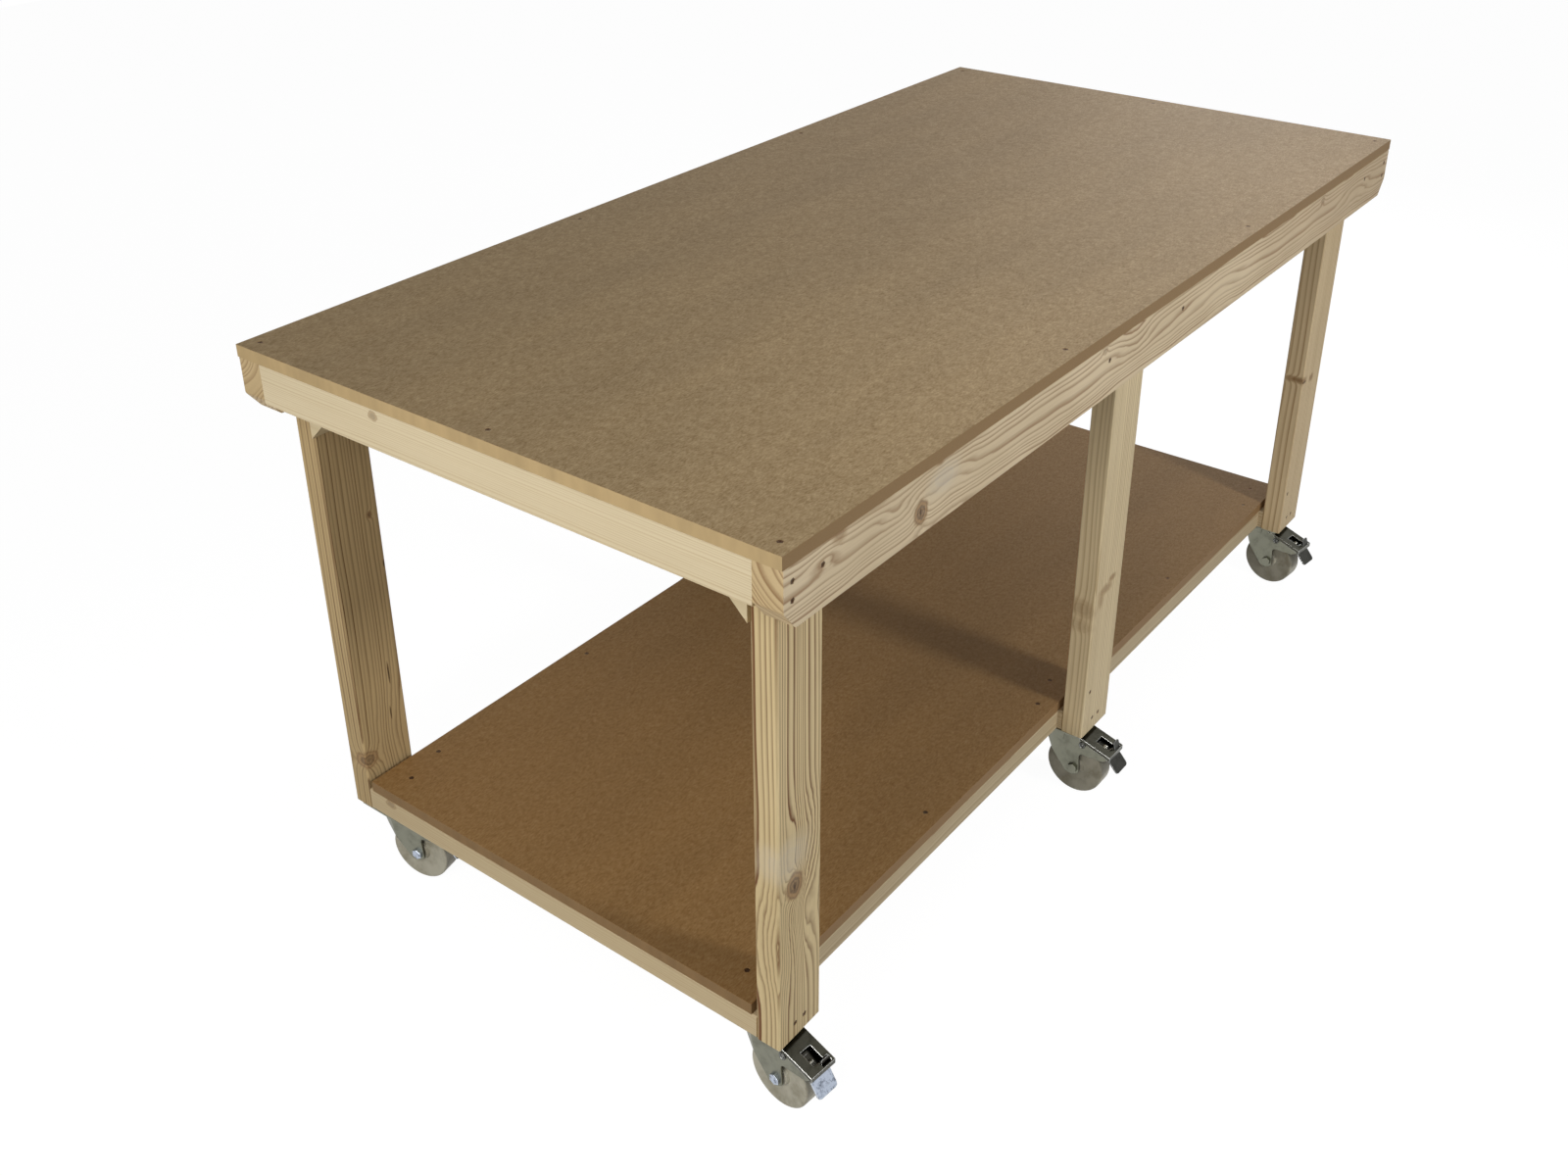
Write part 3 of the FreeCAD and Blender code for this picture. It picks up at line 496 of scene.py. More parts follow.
@dataclass(frozen=True)
class Mark:
    """One mark in a board: its place and reach in millimetres, its depth, its push on the grain."""

    kind: Blemish
    centre: Spot
    size: Spot
    depth: float = 0.85
    push: float = 0.0
    raggedness: ClassVar[float] = 0.6
    falloff: ClassVar[float] = 0.8

    def nearness(self, recipe: Recipe) -> tuple[Signal, Signal]:
        """Measure how near a place is to the mark.

        Args:
            recipe: The material being laid out.

        Returns:
            Nearness from 0 far off to 1 at the heart, and the distance in sizes of the mark.
        """
        offset = tuple(value * MM for value in self.centre)
        stretch = tuple(1.0 / (value * MM) for value in self.size)
        scaled = recipe.shifted(offset, stretch)
        wobble = recipe.noise(scaled, 1.4, 3.0) - 0.5
        plain = Signal(recipe, recipe.vectors("LENGTH", scaled).outputs["Value"])
        length = plain + wobble * self.raggedness
        return recipe.maths("EXPONENT", length * length * -self.falloff), length


@dataclass(frozen=True)
class Softwood:
    """Planed softwood: growth rings about a pith line, fine fibre, knots and stains.

    The pith is given by its two coordinates across the grain, spacing is the width of one ring,
    wander is how far the rings stray and flow is how often they do so in a metre of length.
    """

    name: str
    grain: Axis
    pith: tuple[float, float]
    spacing: float = 0.0048
    wander: float = 0.02
    flow: float = 1.6
    seed: float = 0.0
    pale: Shown = (204, 187, 153)
    late: Shown = (150, 120, 84)
    contrast: float = 0.8
    marks: tuple[Mark, ...] = ()
    waves_across: ClassVar[float] = 7.0
    wet_years_in_metre: ClassVar[float] = 38.0
    wet_year_swing: ClassVar[float] = 3.4
    fibre_scales: ClassVar[tuple[float, float]] = (14.0, 900.0)
    relief: ClassVar[float] = 0.1 * MM
    end_shade: ClassVar[tuple[float, ...]] = (0.80, 0.73, 0.58, 1.0)
    year_profile: ClassVar[tuple[tuple[float, float], ...]] = (
        (0.0, 0.25), (0.08, 0.0), (0.45, 0.08), (0.74, 0.6), (0.9, 1.0), (1.0, 0.25),
    )
    drift_tints: ClassVar[Stops] = ((0.3, (0.92, 0.9, 0.87, 1.0)), (0.7, (1.06, 1.06, 1.07, 1.0)))

    def material(self) -> Material:
        """Lay out the timber's material.

        Returns:
            The material.
        """
        recipe = Recipe(self.name)
        slow = recipe.shifted(self._shift(), self._along(self.flow / self.waves_across))
        near = [mark.nearness(recipe) for mark in self.marks]
        count = self._rings(recipe, slow, near)
        stops = [(place, (dark, dark, dark, 1.0)) for place, dark in self.year_profile]
        ring = Signal(recipe, recipe.ramp(recipe.maths("FRACT", count), stops))
        number = {"W": recipe.maths("FLOOR", count)}
        year = recipe.node("ShaderNodeTexWhiteNoise", {"noise_dimensions": "1D"}, number)
        strength = Signal(recipe, year.outputs[0]) * 0.65 + 0.5
        fine = recipe.shifted((0, 0, 0), self._along(*self.fibre_scales))
        fibre = recipe.noise(fine, 1.0, 2.0, 0.6)
        patch = recipe.span(recipe.noise(slow, 12.0, 2.0), 0.25, 0.75) * 0.35 + 0.7
        share = ring * strength * patch * self.contrast + (fibre - 0.5) * 0.4
        share = recipe.maths("MAXIMUM", share, 0.0, clamp=True)
        colour = recipe.blend(share, linear(*self.pale), linear(*self.late))
        drift = recipe.noise(slow, 9.0, 3.0)
        colour = recipe.product(colour, recipe.ramp(drift, self.drift_tints))
        for mark, (nearness, length) in zip(self.marks, near):
            if mark.kind is not Blemish.CURL:
                colour = self._mark_colour(recipe, colour, mark, nearness, length)
        sawn_end = recipe.span(recipe.facing(self.grain), 0.6, ALONG_AXIS)
        colour = recipe.blend(sawn_end * 0.9, colour, recipe.product(colour, self.end_shade))
        return recipe.finish({
            "Base Color": colour,
            "Roughness": 0.56 + fibre * 0.12,
            "Specular IOR Level": 0.25,
            "Normal": recipe.bump(fibre * 0.6 + ring * 0.4, self.relief, 0.5),
        })

    def _shift(self) -> tuple[float, float, float]:
        """Return the offset that gives each board a pattern of its own."""
        return (self.seed, self.seed * 0.7, -self.seed)

    def _along(self, grain_scale: float, cross_scale: float = 1.0) -> tuple[float, ...]:
        """Return a stretch with one scale along the grain and another across it."""
        return tuple(grain_scale if axis == self.grain.value else cross_scale for axis in range(3))

    def _rings(self, recipe: Recipe, slow: Socket, near: Sequence) -> Signal:
        """Count the growth rings from the pith out to a place.

        Args:
            recipe: The material being laid out.
            slow: Place stretched along the grain.
            near: Nearness and distance of each mark.

        Returns:
            The number of rings.
        """
        parts = recipe.axes(recipe.place)
        across = [axis for axis in range(3) if axis != self.grain.value]
        off_u = parts[across[0]] - self.pith[0]
        off_v = parts[across[1]] - self.pith[1]
        drift = recipe.noise(slow, self.waves_across, 2.0, 0.45) - 0.5
        radius = recipe.maths("SQRT", off_u * off_u + off_v * off_v)
        radius = radius + drift * (2.0 * self.wander)
        wet_years = recipe.node("ShaderNodeTexNoise", {"noise_dimensions": "1D"}, {
            "W": radius + self.seed, "Scale": self.wet_years_in_metre, "Detail": 1.0,
        }).outputs[0]
        radius = radius + Signal(recipe, wet_years) * (self.wet_year_swing * self.spacing)
        for mark, (nearness, _) in zip(self.marks, near):
            if mark.push:
                radius = radius + nearness * mark.push
        return radius / self.spacing

    @staticmethod
    def _mark_colour(
        recipe: Recipe, colour: Socket, mark: Mark, nearness: Signal, length: Signal
    ) -> Socket:
        """Lay one mark over the board's colour.

        Args:
            recipe: The material being laid out.
            colour: Colour so far.
            mark: The mark.
            nearness: Nearness to its heart.
            length: Distance from its heart in its own sizes.

        Returns:
            The colour with the mark.
        """
        outer, inner = mark.kind.value
        bands = recipe.maths("SINE", length * 16.0) * 0.22
        heart = recipe.span(nearness + bands, 0.45, 0.98)
        own = recipe.blend(heart, linear(*outer), linear(*inner))
        cover = recipe.span(nearness, *mark.kind.rim) * mark.depth
        return recipe.blend(cover, colour, own)


@dataclass(frozen=True)
class Metal:
    """Plated steel, from dull to bright.

    Patch is the number of stains side by side in one metre and fold the radius of rounded edges, on
    which a painted highlight lies in a given share. Above a given height the colour turns darker;
    with 0 it does not.
    """

    name: str
    colour: Shown
    roughness: float
    cloud: float = 0.12
    stain: Shown = (120, 112, 92)
    stained: float = 0.35
    patch: float = 60.0
    fold: float = 1.1 * MM
    painted_fold_highlight: float = 0.0
    # height above which the colour turns darker; 0 for none
    darkening_level: float = 0.0
    darkening_colour: Shown = (58, 56, 50)
    # colour of the painted highlight on rounded edges
    fold_highlight_colour: ClassVar[tuple[float, ...]] = (0.75, 0.76, 0.74, 1.0)
    darkening_edge: ClassVar[float] = 3.0 * MM
    specks_in_metre: ClassVar[float] = 900.0
    speck_relief: ClassVar[float] = 0.02 * MM
    fold_samples: ClassVar[int] = 8

    def material(self) -> Material:
        """Lay out the metal's material.

        Returns:
            The material.
        """
        recipe = Recipe(self.name)
        cloud = recipe.noise(recipe.place, self.patch, 4.0, 0.65)
        specks = recipe.noise(recipe.place, self.specks_in_metre, 2.0, 0.6)
        stain = recipe.span(cloud, 0.45, 0.7) * self.stained
        colour = recipe.blend(stain, linear(*self.colour), linear(*self.stain))
        # darker above a given height
        if self.darkening_level:
            height = recipe.axes(recipe.place)[2]
            darkened_share = recipe.span(height, self.darkening_level, self.darkening_level + self.darkening_edge)
            colour = recipe.blend(darkened_share, colour, linear(*self.darkening_colour))
        rounding = {"Radius": self.fold}
        folds = recipe.node("ShaderNodeBevel", {"samples": self.fold_samples}, rounding).outputs[0]
        # painted highlight: a pale colour on rounded edges, where the bevelled normal leaves the
        # true one
        if self.painted_fold_highlight:
            flat = recipe.node("ShaderNodeNewGeometry").outputs["True Normal"]
            turn = 1.0 - Signal(recipe, recipe.vectors("DOT_PRODUCT", folds, flat).outputs["Value"])
            fold_highlight_share = recipe.span(turn, 0.01, 0.16) * self.painted_fold_highlight
            colour = recipe.blend(fold_highlight_share, colour, self.fold_highlight_colour)
        return recipe.finish({
            "Base Color": colour,
            "Metallic": 1.0,
            "Roughness": self.roughness + (cloud - 0.5) * self.cloud,
            "Normal": recipe.bump(specks, self.speck_relief, 0.3, folds),
        })


@dataclass(frozen=True)
class Nylon:
    """Moulded grey-beige wheel plastic, a little dusty."""

    name: str
    colour: Shown = (184, 180, 163)
    dust: Shown = (146, 140, 120)
    clouds_in_metre: float = 38.0

    def material(self) -> Material:
        """Lay out the plastic's material.

        Returns:
            The material.
        """
        recipe = Recipe(self.name)
        cloud = recipe.noise(recipe.place, self.clouds_in_metre, 3.0, 0.6)
        dusty = recipe.span(cloud, 0.35, 0.75)
        colour = recipe.blend(dusty, linear(*self.colour), linear(*self.dust))
        return recipe.finish({
            "Base Color": colour,
            "Roughness": 0.42 + cloud * 0.15,
            "Subsurface Weight": 0.15,
            "Subsurface Radius": (0.012, 0.01, 0.008),
            "Subsurface Scale": 0.4,
            "Specular IOR Level": 0.4,
        })


# ------------------------------------------------------------------ modelling by hand
class Element(Enum):
    """Parts of a mesh that can be picked, by the mesh's own word for them."""

    FACE = "faces"
    EDGE = "edges"


class Bench:
    """Modelling steps in edit mode, each on what the code selects."""

    @staticmethod
    def clear() -> None:
        """Leave nothing selected."""
        bpy.ops.object.select_all(action="DESELECT")
        bpy.context.view_layer.objects.active = None

    @staticmethod
    def named(name: str) -> Piece:
        """Name the object just made.

        Args:
            name: Its name, which its mesh takes too.

        Returns:
            The object.
        """
        made = bpy.context.view_layer.objects.active
        made.name = name
        made.data.name = name
        return made

    @staticmethod
    def cylinder(
        name: str, sides: int, radius: float, depth: float, middle: Sequence[float],
        lying: bool = False,
    ) -> Piece:
        """Model a cylinder that stands along Z or lies along X.

        Args:
            name: Name of the piece.
            sides: Number of its sides.
            radius: Its radius.
            depth: Its length.
            middle: Its centre.
            lying: True for one along X.

        Returns:
            The cylinder, its place in its mesh.
        """
        Bench.clear()
        bpy.ops.mesh.primitive_cylinder_add(
            vertices=sides, radius=radius, depth=depth, location=middle,
            rotation=(0, math.pi / 2 if lying else 0, 0),
        )
        made = Bench.named(name)
        bpy.ops.object.transform_apply(location=True, rotation=True, scale=True)
        return made

    @staticmethod
    def only(piece: Piece) -> None:
        """Select one piece and nothing else.

        Args:
            piece: The piece.
        """
        Bench.clear()
        piece.select_set(True)
        bpy.context.view_layer.objects.active = piece

    @staticmethod
    def pick(piece: Piece, kind: Element, test: Callable[[Any], bool]) -> None:
        """Select the faces or the edges that pass a test, in edit mode.

        Args:
            piece: The piece in edit mode.
            kind: Faces or edges.
            test: True for one to select.
        """
        bpy.ops.mesh.select_mode(type=kind.name)
        bpy.ops.mesh.select_all(action="DESELECT")
        mesh = bmesh.from_edit_mesh(piece.data)
        for part in getattr(mesh, kind.value):
            if test(part):
                part.select_set(True)
        bmesh.update_edit_mesh(piece.data)

    @staticmethod
    def step_in(thickness: float, depth: float = 0.0) -> None:
        """Inset each selected face by a width and move it along its normal.

        Args:
            thickness: The width.
            depth: How far it moves outwards.
        """
        bpy.ops.mesh.inset(
            thickness=thickness, depth=depth, use_individual=True, use_even_offset=True,
        )

    @staticmethod
    def smooth(piece: Piece, angle: float = 35.0) -> None:
        """Shade round faces smooth and leave sharp edges sharp."""
        Bench.only(piece)
        bpy.ops.object.shade_smooth_by_angle(angle=math.radians(angle))

    @staticmethod
    def apply(piece: Piece, kind: str, settings: dict) -> None:
        """Add a modifier to a piece and apply it.

        Args:
            piece: The piece.
            kind: Modifier type.
            settings: Its properties.
        """
        Bench.only(piece)
        modifier = piece.modifiers.new(kind.title(), kind)
        for key, value in settings.items():
            setattr(modifier, key, value)
        bpy.ops.object.modifier_apply(modifier=modifier.name)

    @staticmethod
    def settle(piece: Piece, place: Matrix) -> None:
        """Put a piece at its place and leave the place in its mesh.

        Args:
            piece: The piece.
            place: Where it belongs.
        """
        Bench.only(piece)
        piece.matrix_world = place
        bpy.ops.object.transform_apply(location=True, rotation=True, scale=True)

    @staticmethod
    def copy(piece: Piece, name: str, place: Matrix) -> Piece:
        """Set a copy of a piece, with a mesh of its own, at another place.

        Args:
            piece: The piece.
            name: Name of the copy.
            place: Where the copy belongs.

        Returns:
            The copy.
        """
        made = piece.copy()
        made.data = piece.data.copy()
        made.name = name
        made.data.name = name
        bpy.context.scene.collection.objects.link(made)
        Bench.settle(made, place)
        return made

    @staticmethod
    def join(pieces: Sequence[Piece], name: str) -> Piece:
        """Join pieces into one.

        Args:
            pieces: The pieces, in the order that their meshes take.
            name: Name of the joined piece.

        Returns:
            The joined piece.
        """
        Bench.clear()
        for piece in pieces:
            piece.select_set(True)
        bpy.context.view_layer.objects.active = pieces[0]
        bpy.ops.object.join()
        return Bench.named(name)

    @staticmethod
    def discard(piece: Piece) -> None:
        """Remove a pattern piece once its copies are made."""
        bpy.data.objects.remove(piece)

    @staticmethod
    def dress(piece: Piece, material: Material) -> None:
        """Give a piece one material."""
        piece.data.materials.clear()
        piece.data.materials.append(material)


# ------------------------------------------------------------------ wood screws
@dataclass
class WoodScrews:
    """Countersunk screws with a cross recess, one group for each CAD node."""

    head_radius: float = 4.2 * MM
    head_depth: float = 2.6 * MM
    shank_radius: float = 2.0 * MM
    recess_arm: float = 2.5 * MM
    recess_width: float = 0.9 * MM
    recess_depth: float = 2.0 * MM
    recess_taper: tuple[float, float] = (0.7, 0.8)
    shank_share: float = 0.8
    point_share: float = 0.19
    point_taper: float = 0.1
    weld_distance: float = 0.02 * MM
    head_zone: float = 0.3 * MM
    groups: dict[str, str] = field(default_factory=lambda: {
        "screws_board": "board_screws", "screws_frame": "frame_screws",
    })

    def build(self, material: Material) -> None:
        """Model both groups in the place of their CAD nodes.

        Args:
            material: Finish of the screws.
        """
        for node, name in self.groups.items():
            pieces = []
            for head, way, length in self._seats(node):
                turn = Vector((0, 0, -1)).rotation_difference(way).to_matrix().to_4x4()
                pieces.append(self._screw(length))
                Bench.settle(pieces[-1], Matrix.Translation(head) @ turn)
            group = Bench.join(pieces, name)
            Bench.smooth(group)
            Bench.dress(group, material)
            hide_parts(node)
            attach(group, "table")
            LOG.info("%s: %d screws", name, len(pieces))

    def _screw(self, length: float) -> Piece:
        """Model one screw that points down from the origin.

        Args:
            length: Its whole length.

        Returns:
            The screw.
        """
        Bench.clear()
        bpy.ops.mesh.primitive_cone_add(
            vertices=16, radius1=self.shank_radius, radius2=self.head_radius, depth=self.head_depth,
            location=(0, 0, -self.head_depth / 2),
        )
        screw = Bench.named("screw")
        bpy.ops.object.transform_apply(location=True)
        bpy.ops.object.mode_set(mode="EDIT")
        Bench.pick(screw, Element.FACE, lambda face: face.normal.z < -ALONG_AXIS)
        for step in (length * self.shank_share - self.head_depth, length * self.point_share):
            bpy.ops.mesh.extrude_region_move(TRANSFORM_OT_translate={"value": (0, 0, -step)})
        bpy.ops.transform.resize(value=(self.point_taper, self.point_taper, 1.0))
        bpy.ops.object.mode_set(mode="OBJECT")
        for cutter in self._cutters():
            cut = {"operation": "DIFFERENCE", "object": cutter, "solver": "EXACT"}
            Bench.apply(screw, "BOOLEAN", cut)
            Bench.discard(cutter)
        return screw

    def _cutters(self) -> tuple[Piece, Piece]:
        """Model the two crossed blocks that cut the recess.

        Returns:
            Both blocks.
        """
        Bench.clear()
        bpy.ops.mesh.primitive_cube_add(size=1.0, location=(0, 0, 0))
        block = Bench.named("recess")
        block.scale = (2 * self.recess_arm, self.recess_width, 2 * self.recess_depth)
        bpy.ops.object.transform_apply(location=True, rotation=True, scale=True)
        bpy.ops.object.mode_set(mode="EDIT")
        Bench.pick(block, Element.FACE, lambda face: face.normal.z < -ALONG_AXIS)
        bpy.ops.transform.resize(value=(*self.recess_taper, 1.0))
        bpy.ops.object.mode_set(mode="OBJECT")
        return block, Bench.copy(block, "recess_across", Matrix.Rotation(math.pi / 2, 4, "Z"))

    def _seats(self, node: str) -> list[tuple[Vector, Vector, float]]:
        """Find each screw of a CAD node.

        Args:
            node: The CAD node.

        Returns:
            For each screw the middle of its head's face, its direction and its length.
        """
        mesh = bmesh.new()
        mesh.from_mesh(frame["nodes"][node].data)
        bmesh.ops.remove_doubles(mesh, verts=mesh.verts, dist=self.weld_distance)
        waiting = set(mesh.verts)
        found = []
        while waiting:
            stack = [waiting.pop()]
            island = list(stack)
            while stack:
                for edge in stack.pop().link_edges:
                    for vertex in edge.verts:
                        if vertex in waiting:
                            waiting.remove(vertex)
                            stack.append(vertex)
                            island.append(vertex)
            points = [vertex.co.copy() for vertex in island]
            middle = sum(points, Vector()) / len(points)
            tip = max(points, key=lambda point: (point - middle).length)
            points.sort(key=lambda point: -(point - tip).length)
            reach = (points[0] - tip).length
            rim = [point for point in points if (point - tip).length > reach - self.head_zone]
            head = sum(rim, Vector()) / len(rim)
            found.append((head, (tip - head).normalized(), (tip - head).length))
        mesh.free()
        return sorted(found, key=lambda seat: tuple(seat[0]))


# ------------------------------------------------------------------ casters
@dataclass(frozen=True)
class CasterPlace:
    """Where one caster stands and how it is turned."""

    key: str
    x: float
    y: float
    top: float
    angle: float
    pressed: bool

    def matrix(self) -> Matrix:
        """Return the place of the caster's own frame: plate face at zero, wheel towards -Y."""
        return Matrix.Translation((self.x, self.y, self.top)) @ Matrix.Rotation(self.angle, 4, "Z")

    @staticmethod
    def read(top: float) -> list["CasterPlace"]:
        """Read the places of all the casters from the joints.

        Args:
            top: Height of the plates' upper faces.

        Returns:
            The places in the joints' order.
        """
        joints = {joint["name"]: joint for joint in frame["joints"]}
        places = []
        for name, joint in joints.items():
            if not name.startswith("swivel_"):
                continue
            key = name.removeprefix("swivel_")
            axis = joints[f"roll_{key}"]["axis"]
            limits = joints[f"brake_{key}"]["range_deg"]
            angle = math.atan2(axis[1], axis[0])
            x, y = joint["pos_m"][:2]
            places.append(CasterPlace(key, x, y, top, angle, limits[0] < 0))
        return places


@dataclass
class CasterWheels:
    """Round moulded wheels in the place of the plain CAD ones."""

    radius: float = 50.0 * MM
    width: float = 32.0 * MM
    trail: float = 38.0 * MM
    level: float = -78.0 * MM
    tread_rounding: float = 3.0 * MM
    dish_depth: float = 4.5 * MM
    hub_radius: float = 14.0 * MM
    hub_foot: float = 2.0 * MM
    bore_radius: float = 5.1 * MM
    bore_margin: float = 1.0 * MM
    ring_rounding: float = 0.9 * MM
    ring_fold: float = 25.0
    smooth_angle: float = 32.0
    sides: int = 96

    def build(self, places: Iterable[CasterPlace], material: Material) -> None:
        """Model one wheel and set a copy in each caster.

        Args:
            places: Where the casters stand.
            material: Finish of the wheels.
        """
        pattern = self._wheel()
        for place in places:
            wheel = Bench.copy(pattern, f"round_wheel_{place.key}", place.matrix())
            Bench.smooth(wheel, self.smooth_angle)
            Bench.dress(wheel, material)
            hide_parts(f"wheel_{place.key}")
            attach(wheel, f"wheel_{place.key}")
            LOG.info("wheel %s", place.key)
        Bench.discard(pattern)

    def _wheel(self) -> Piece:
        """Model one wheel in the caster's own frame.

        Returns:
            The wheel.
        """
        wheel = Bench.cylinder(
            "wheel_pattern", self.sides, self.radius, self.width,
            (0, -self.trail, self.level), lying=True,
        )
        bpy.ops.object.mode_set(mode="EDIT")
        Bench.pick(wheel, Element.FACE, lambda face: abs(face.normal.x) > ALONG_AXIS)
        Bench.step_in(self.radius - self.hub_radius - self.hub_foot, -self.dish_depth)
        Bench.step_in(self.hub_foot, self.dish_depth)
        Bench.step_in(self.hub_radius - self.bore_radius)
        bpy.ops.mesh.delete(type="ONLY_FACE")
        Bench.pick(wheel, Element.EDGE, lambda edge: edge.is_boundary)
        bpy.ops.mesh.bridge_edge_loops()
        Bench.pick(wheel, Element.EDGE, self._is_tread_edge)
        bpy.ops.mesh.bevel(offset=self.tread_rounding, segments=5, affect="EDGES")
        Bench.pick(wheel, Element.EDGE, self._is_ring_edge)
        bpy.ops.mesh.bevel(offset=self.ring_rounding, segments=3, affect="EDGES")
        bpy.ops.mesh.select_all(action="SELECT")
        bpy.ops.mesh.normals_make_consistent(inside=False)
        bpy.ops.object.mode_set(mode="OBJECT")
        return wheel

    def _reach(self, point: Vector) -> float:
        """Return the distance of a point from the axle's line."""
        return math.hypot(point.y + self.trail, point.z - self.level)

    def _is_tread_edge(self, edge: bmesh.types.BMEdge) -> bool:
        """Tell the two outer edges of the tread from the rest.

        Args:
            edge: An edge of the wheel.

        Returns:
            True for an outer edge of the tread.
        """
        ends = [vertex.co for vertex in edge.verts]
        outer = all(abs(self._reach(end) - self.radius) < SAME_PLACE for end in ends)
        return outer and abs(ends[0].x - ends[1].x) < SAME_PLACE

    def _is_ring_edge(self, edge: bmesh.types.BMEdge) -> bool:
        """Tell the sharp rings round the hub from the rest.

        Args:
            edge: An edge of the wheel.

        Returns:
            True for an edge of a ring.
        """
        ends = [vertex.co for vertex in edge.verts]
        level = abs(ends[0].x - ends[1].x) < SAME_PLACE
        fold = edge.calc_face_angle(0.0) if len(edge.link_faces) == 2 else 0.0
        nearest = self.bore_radius + self.bore_margin
        furthest = self.hub_radius + 2 * self.hub_foot
        inside = nearest < self._reach(ends[0]) < furthest
        return level and inside and fold > math.radians(self.ring_fold)


@dataclass
class PivotRivets:
    """Hollow rivets on both sides of each fork, over the ends of the pedal's pivot."""

    seat: float = 21.45 * MM
    height: float = 2.9 * MM
    radius: float = 5.8 * MM
    rim: float = 1.3 * MM
    recess: float = 1.0 * MM
    wall: float = 0.3 * MM
    core_radius: float = 2.3 * MM
    core_slope: float = 0.4 * MM
    core_height: float = 0.8 * MM
    rounding: float = 0.5 * MM
    smooth_angle: float = 30.0
    sides: int = 24

    def build(self, places: Iterable[CasterPlace], material: Material) -> None:
        """Model one rivet and set a pair on each fork.

        Args:
            places: Where the casters stand.
            material: Finish of the rivets.
        """
        pattern = self._rivet()
        for place in places:
            pair = []
            for side in (1, -1):
                turn = Matrix.Rotation(side * math.pi / 2, 4, "Y")
                seat = Matrix.Translation((side * self.seat, -PIVOT_OUT, PIVOT_LEVEL))
                spot = place.matrix() @ seat @ turn
                pair.append(Bench.copy(pattern, f"rivet_{place.key}_{side}", spot))
            rivets = Bench.join(pair, f"pivot_rivets_{place.key}")
            Bench.smooth(rivets, self.smooth_angle)
            Bench.dress(rivets, material)
            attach(rivets, f"fork_{place.key}")
            LOG.info("pivot rivets %s", place.key)
        Bench.discard(pattern)

    def _rivet(self) -> Piece:
        """Model one rivet that stands on the origin along Z.

        Returns:
            The rivet.
        """
        middle = (0, 0, self.height / 2)
        piece = Bench.cylinder("rivet_pattern", self.sides, self.radius, self.height, middle)
        bpy.ops.object.mode_set(mode="EDIT")
        Bench.pick(piece, Element.FACE, lambda face: face.normal.z > ALONG_AXIS)
        Bench.step_in(self.rim)
        Bench.step_in(self.wall, -self.recess)
        Bench.step_in(self.radius - self.rim - self.wall - self.core_radius)
        Bench.step_in(self.core_slope, self.core_height)
        Bench.pick(piece, Element.EDGE, self._is_outer_rim)
        bpy.ops.mesh.bevel(offset=self.rounding, segments=2, affect="EDGES")
        bpy.ops.object.mode_set(mode="OBJECT")
        return piece

    def _is_outer_rim(self, edge: bmesh.types.BMEdge) -> bool:
        """Tell the upper outer edges of the rivet from the rest.

        Args:
            edge: An edge of the rivet.

        Returns:
            True for an edge of the outer rim.
        """
        ends = [vertex.co for vertex in edge.verts]
        high = all(abs(end.z - self.height) < SAME_PLACE for end in ends)
        return high and all(abs(end.xy.length - self.radius) < SAME_PLACE for end in ends)


@dataclass
class PedalSprings:
    """Coil spring on its pin, seen through the window of each brake cover."""

    out: float = 82.0 * MM
    level: float = -31.0 * MM
    side: float = -3.0 * MM
    coil_radius: float = 4.6 * MM
    wire_radius: float = 0.8 * MM
    pitch: float = 2.4 * MM
    turns: int = 4
    pin_radius: float = 2.6 * MM
    pin_overhang: float = 3.0 * MM
    pin_rounding: float = 0.5 * MM
    travel: float = 7.0
    smooth_angle: float = 50.0

    def build(self, places: Iterable[CasterPlace], material: Material) -> None:
        """Model one spring and set a copy on each pedal.

        Args:
            places: Where the casters stand.
            material: Finish of the springs.
        """
        pattern = self._spring()
        pivot = Matrix.Translation((0, -PIVOT_OUT, PIVOT_LEVEL))
        press = pivot @ Matrix.Rotation(math.radians(self.travel), 4, "X") @ pivot.inverted()
        for place in places:
            matrix = place.matrix() @ press if place.pressed else place.matrix()
            spring = Bench.copy(pattern, f"pedal_spring_{place.key}", matrix)
            Bench.smooth(spring, self.smooth_angle)
            Bench.dress(spring, material)
            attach(spring, f"pedal_{place.key}")
            LOG.info("pedal spring %s", place.key)
        Bench.discard(pattern)

    def _spring(self) -> Piece:
        """Model one coil and its pin, lying along X.

        Returns:
            The spring.
        """
        Bench.clear()
        bpy.ops.mesh.primitive_circle_add(
            vertices=8, radius=self.wire_radius, fill_type="NOTHING",
            location=(0, -self.coil_radius, 0), rotation=(0, math.pi / 2, 0),
        )
        coil = Bench.named("spring_pattern")
        bpy.ops.object.transform_apply(location=True, rotation=True, scale=True)
        Bench.apply(coil, "SCREW", {
            "axis": "X", "steps": 20, "render_steps": 20, "iterations": self.turns,
            "screw_offset": self.pitch, "use_merge_vertices": True,
        })
        bpy.ops.object.mode_set(mode="EDIT")
        bpy.ops.mesh.select_mode(type="EDGE")
        bpy.ops.mesh.select_all(action="DESELECT")
        bpy.ops.mesh.select_non_manifold()
        bpy.ops.mesh.edge_face_add()
        bpy.ops.mesh.select_all(action="SELECT")
        bpy.ops.mesh.normals_make_consistent(inside=False)
        bpy.ops.object.mode_set(mode="OBJECT")
        length = self.turns * self.pitch
        Bench.settle(coil, Matrix.Translation((self.side - length / 2, -self.out, self.level)))
        pin = Bench.cylinder(
            "pin_pattern", 20, self.pin_radius, length + self.pin_overhang,
            (self.side, -self.out, self.level), lying=True,
        )
        rounding = {"width": self.pin_rounding, "segments": 2, "limit_method": "ANGLE"}
        Bench.apply(pin, "BEVEL", rounding)
        return Bench.join([coil, pin], "spring_pattern")


